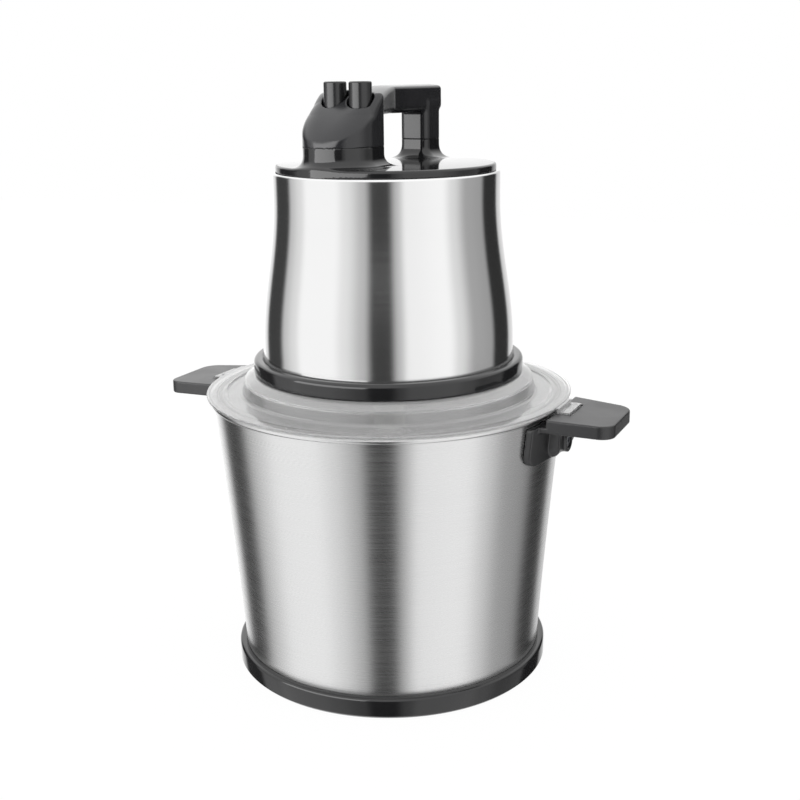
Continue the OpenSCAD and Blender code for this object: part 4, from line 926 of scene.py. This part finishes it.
def winding_recipe(material):
    tree, inputs = start_recipe("wound ring", Turns=60, Middle=0.013, Width=0.007, Tall=0.002, Height=0.0,
                                Wire=0.0005)
    steps = calculate(tree, "MULTIPLY", inputs["Turns"], POINTS_PER_TURN)
    points = calculate(tree, "ADD", steps, 1.0)
    line = add(tree, "GeometryNodeMeshLine", {"Count": points})
    share = calculate(tree, "DIVIDE", add(tree, "GeometryNodeInputIndex").outputs[0], steps)
    around = calculate(tree, "MULTIPLY", share, 2 * math.pi)
    wound = calculate(tree, "MULTIPLY", around, inputs["Turns"])
    reach = calculate(tree, "MULTIPLY", calculate(tree, "COSINE", wound), inputs["Width"])
    radius = calculate(tree, "ADD", reach, inputs["Middle"])
    rise = calculate(tree, "MULTIPLY", calculate(tree, "SINE", wound), inputs["Tall"])
    place = add(tree, "ShaderNodeCombineXYZ", {
        "X": calculate(tree, "MULTIPLY", radius, calculate(tree, "COSINE", around)),
        "Y": calculate(tree, "MULTIPLY", radius, calculate(tree, "SINE", around)),
        "Z": calculate(tree, "ADD", rise, inputs["Height"])})
    moved = add(tree, "GeometryNodeSetPosition",
                {"Geometry": line.outputs["Mesh"], "Position": place.outputs[0]})
    path = add(tree, "GeometryNodeMeshToCurve", {"Mesh": moved.outputs["Geometry"]})
    section = add(tree, "GeometryNodeCurvePrimitiveCircle", {"Radius": inputs["Wire"]}, Resolution=6)
    wire = add(tree, "GeometryNodeCurveToMesh",
               {"Curve": path.outputs["Curve"], "Profile Curve": section.outputs["Curve"]}, Fill_Caps=True)
    return end_recipe(tree, wire.outputs["Mesh"], material)


winding = winding_recipe(COPPER)
bore, outside, low, high = node_box("armature_winding")
core_low, core_high = node_box("armature_core")[2:]
ends = []
for end_low, end_high in ((low, core_low), (core_high, high)):
    ends.append(grown("armature_wire", winding, COPPER, Turns=WIRE_TURNS, Middle=(bore + outside) / 2 * MM,
                      Width=((outside - bore) / 2 - WIRE_R) * MM, Tall=((end_high - end_low) / 2 - WIRE_R) * MM,
                      Height=(end_low + end_high) / 2 * MM, Wire=WIRE_R * MM))
hand_in(join_pieces(ends), "rotor", "armature_winding")

# %% [markdown]
# ### Blade nut
#
# The nut that holds the blades on their hub is turned by hand, so it has eight soft flutes. A cosine of the
# angle round the axis makes them.

# %% Blade nut
FLUTES, FLUTE_DEPTH, NUT_GAP = 8, 0.8, 0.02
nut_bore, nut_out, nut_low, nut_high = node_box("blade_nut")


def nut_field(x, y, z):
    r = np.hypot(x, y)
    edge = nut_out - 0.9 + FLUTE_DEPTH * np.cos(FLUTES * np.arctan2(y, x))
    rim = cut_soft(r - edge, slab_field(z, nut_low + NUT_GAP, nut_high), 1.2)
    return cut_soft(rim, nut_bore + NUT_GAP - r, 0.6)


nut = moulded("blade_nut_fluted", nut_field, (-18, -18, nut_low), (18, 18, nut_high), 0.5, WHITE_NYLON)
hand_in(nut, "blade_unit", "blade_nut")

# %% [markdown]
# ## Studio
#
# The object stands on a pale floor in soft light. Brushed steel looks like its surroundings, so the
# surroundings are designed: a bright room with a few tall dark strips, as a product photographer would set up
# black flags beside white panels. The world's colour depends only on the direction round the Z axis and on the
# height, so each strip gives the steel one tall dark band. The camera and the clear lid see the floor as plain
# white, and mirror reflections pass through it to the room, so that the steel's bands run down to its foot.

# %% Floor and world
CAMERA_AZIMUTH = 25.0
WHITE_SHARE = 0.97
FLOOR_HALF = 3000


def floor_material():
    material, tree, shader = start_material("pale studio floor")
    set_values(shader, Base_Color=linear("#f2f2f2"), Roughness=0.9)
    rays = add(tree, "ShaderNodeLightPath")
    seen = calculate(tree, "MAXIMUM", rays.outputs["Is Camera Ray"], rays.outputs["Is Transmission Ray"])
    share = calculate(tree, "MULTIPLY", seen, WHITE_SHARE)
    white = add(tree, "ShaderNodeEmission", Strength=1.0)
    mix = add(tree, "ShaderNodeMixShader", {0: share, 1: shader.outputs[0], 2: white.outputs[0]})
    passed = add(tree, "ShaderNodeBsdfTransparent")
    mirrored = add(tree, "ShaderNodeMixShader", {0: rays.outputs["Is Glossy Ray"], 1: mix.outputs[0],
                                                 2: passed.outputs[0]})
    tree.links.new(mirrored.outputs[0], tree.nodes["Material Output"].inputs["Surface"])
    return material


floor_corners = [(x * FLOOR_HALF, y * FLOOR_HALF, 0) for x, y in ((-1, -1), (1, -1), (1, 1), (-1, 1))]
floor = finish_mesh("studio_floor", floor_corners, [(0, 1, 2, 3)], floor_material())

# Each stop: azimuth in degrees from the camera's own direction, and the brightness of the room there.
ROOM = [
    (-180, 1.05), (-158, 1.0), (-146, 0.75), (-138, 0.05), (-115, 0.05), (-107, 0.60), (-94, 0.80), (-84, 1.05),
    (-52, 1.05), (-40, 0.85), (-22, 0.52), (-13, 0.05), (1, 0.05), (10, 0.55), (19, 0.98), (56, 1.05),
    (68, 0.78), (86, 0.40), (107, 0.36), (114, 0.03), (139, 0.03), (147, 0.62), (164, 0.70), (180, 1.05)]
OVERHEAD, ROOM_STRENGTH = 1.15, 1.35


def build_world():
    world = bpy.data.worlds.new("studio room")
    scene.world = world
    world.use_nodes = True
    tree = world.node_tree
    tree.nodes.clear()
    way = add(tree, "ShaderNodeTexCoord").outputs["Generated"]
    turned_way = add(tree, "ShaderNodeVectorRotate", {"Vector": way}, rotation_type="Z_AXIS",
                     Angle=math.radians(90 - CAMERA_AZIMUTH))
    parts = add(tree, "ShaderNodeSeparateXYZ", {0: turned_way.outputs["Vector"]})
    angle = calculate(tree, "ARCTAN2", parts.outputs["Y"], parts.outputs["X"])
    share = add(tree, "ShaderNodeMapRange", {"Value": angle}, From_Min=-math.pi, From_Max=math.pi)
    ramp = add(tree, "ShaderNodeValToRGB", {"Fac": share.outputs["Result"]})
    ramp.color_ramp.interpolation = "EASE"
    stops = ramp.color_ramp.elements
    while len(stops) > 1:
        stops.remove(stops[-1])
    for k, (degrees, level) in enumerate(ROOM):
        position = (degrees + 180) / 360
        stop = stops[0] if k == 0 else stops.new(position)
        stop.position = position
        stop.color = (level, level, level, 1.0)
    above = add(tree, "ShaderNodeMapRange", {"Value": parts.outputs["Z"]}, From_Min=0.2, From_Max=0.5)
    room = add(tree, "ShaderNodeMix", {"Factor": above.outputs["Result"], 6: ramp.outputs["Color"]},
               data_type="RGBA")
    room.inputs[7].default_value = (OVERHEAD, OVERHEAD, OVERHEAD, 1.0)
    rays = add(tree, "ShaderNodeLightPath")
    lit = add(tree, "ShaderNodeBackground", {"Color": room.outputs[2]}, Strength=ROOM_STRENGTH)
    white = add(tree, "ShaderNodeBackground", Color=(1, 1, 1, 1), Strength=1.0)
    mix = add(tree, "ShaderNodeMixShader",
              {0: rays.outputs["Is Camera Ray"], 1: lit.outputs[0], 2: white.outputs[0]})
    add(tree, "ShaderNodeOutputWorld", {"Surface": mix.outputs[0]})


build_world()
print("stops of the room:", len(ROOM))

# %% [markdown]
# ### Softbox for the black pieces
#
# Black plastic shows its form only by what it reflects. The room that suits the steel leaves the dome and the
# post dull, so a large soft lamp stands to the left of the camera. It makes pale patches with clean edges on
# the black mouldings. Light linking keeps it off the steel and the lid.

# %% Softbox
AIM_HEIGHT = 380


def softbox(name, azimuth, distance_mm, height_mm, size_mm, radiance, receivers):
    """A soft lamp that lights only some pieces. Its azimuth counts from the camera's own direction."""
    lamp = bpy.data.lights.new(name, "AREA")
    lamp.shape, lamp.size, lamp.size_y = "RECTANGLE", size_mm[0] * MM, size_mm[1] * MM
    lamp.energy = radiance * math.pi * lamp.size * lamp.size_y
    holder = bpy.data.objects.new(name, lamp)
    scene.collection.objects.link(holder)
    angle = math.radians(CAMERA_AZIMUTH + azimuth - 90)
    holder.location = (distance_mm * MM * math.cos(angle), distance_mm * MM * math.sin(angle), height_mm * MM)
    aim = Vector((0, 0, AIM_HEIGHT * MM)) - holder.location
    holder.rotation_euler = aim.to_track_quat("-Z", "Y").to_euler()
    lit = bpy.data.collections.new(name + " lights")
    for piece in receivers:
        lit.objects.link(piece)
    holder.light_linking.receiver_collection = lit


BLACKS = (GLOSS_BLACK, SEMI_BLACK, SATIN_BLACK, BUTTON_BLACK)
black = [piece for piece in scene.objects
         if piece.type == "MESH" and any(m in BLACKS for m in piece.data.materials)]
softbox("softbox_left", -50, 1200, 560, (1500, 800), 3.4, black)
print("black pieces under the softbox:", len(black))

# %% [markdown]
# ### Camera
#
# The camera looks slightly down at the object from its right front, through a long lens. Its place, its pitch
# and the small roll and yaw were found from the ellipses of the bowl's and the head's rings.

# %% Camera
CAMERA_DISTANCE, CAMERA_HEIGHT = 934.8, 460.6
PITCH, ROLL, YAW = math.radians(14.969), math.radians(-0.655), math.radians(0.533)
FOCAL_PX, PICTURE_PX, SENSOR_MM = 1219.8, 800, 36
FOCAL_MM = FOCAL_PX / PICTURE_PX * SENSOR_MM


def camera_axes():
    """Right, up and forward directions of the camera in the object's frame."""
    side = Vector((math.cos(YAW), -math.sin(YAW), 0))
    ahead = Vector((math.sin(YAW), math.cos(YAW), 0))
    forward = ahead * math.cos(PITCH) - Vector((0, 0, 1)) * math.sin(PITCH)
    up = ahead * math.sin(PITCH) + Vector((0, 0, 1)) * math.cos(PITCH)
    right_rolled = side * math.cos(ROLL) + up * math.sin(ROLL)
    up_rolled = up * math.cos(ROLL) - side * math.sin(ROLL)
    spin = Matrix.Rotation(math.radians(CAMERA_AZIMUTH), 3, "Z")
    return spin @ right_rolled, spin @ up_rolled, spin @ forward, spin


right, up, forward, spin = camera_axes()
lens = bpy.data.cameras.new("camera")
lens.lens = FOCAL_MM
lens.sensor_width = SENSOR_MM
camera = bpy.data.objects.new("camera", lens)
scene.collection.objects.link(camera)
place = spin @ Vector((0, -CAMERA_DISTANCE * MM, CAMERA_HEIGHT * MM))
camera.matrix_world = Matrix.Translation(place) @ Matrix((right, up, -forward)).transposed().to_4x4()
scene.camera = camera
scene.view_settings.view_transform = "Standard"
print("lens", round(FOCAL_MM, 2), "mm")
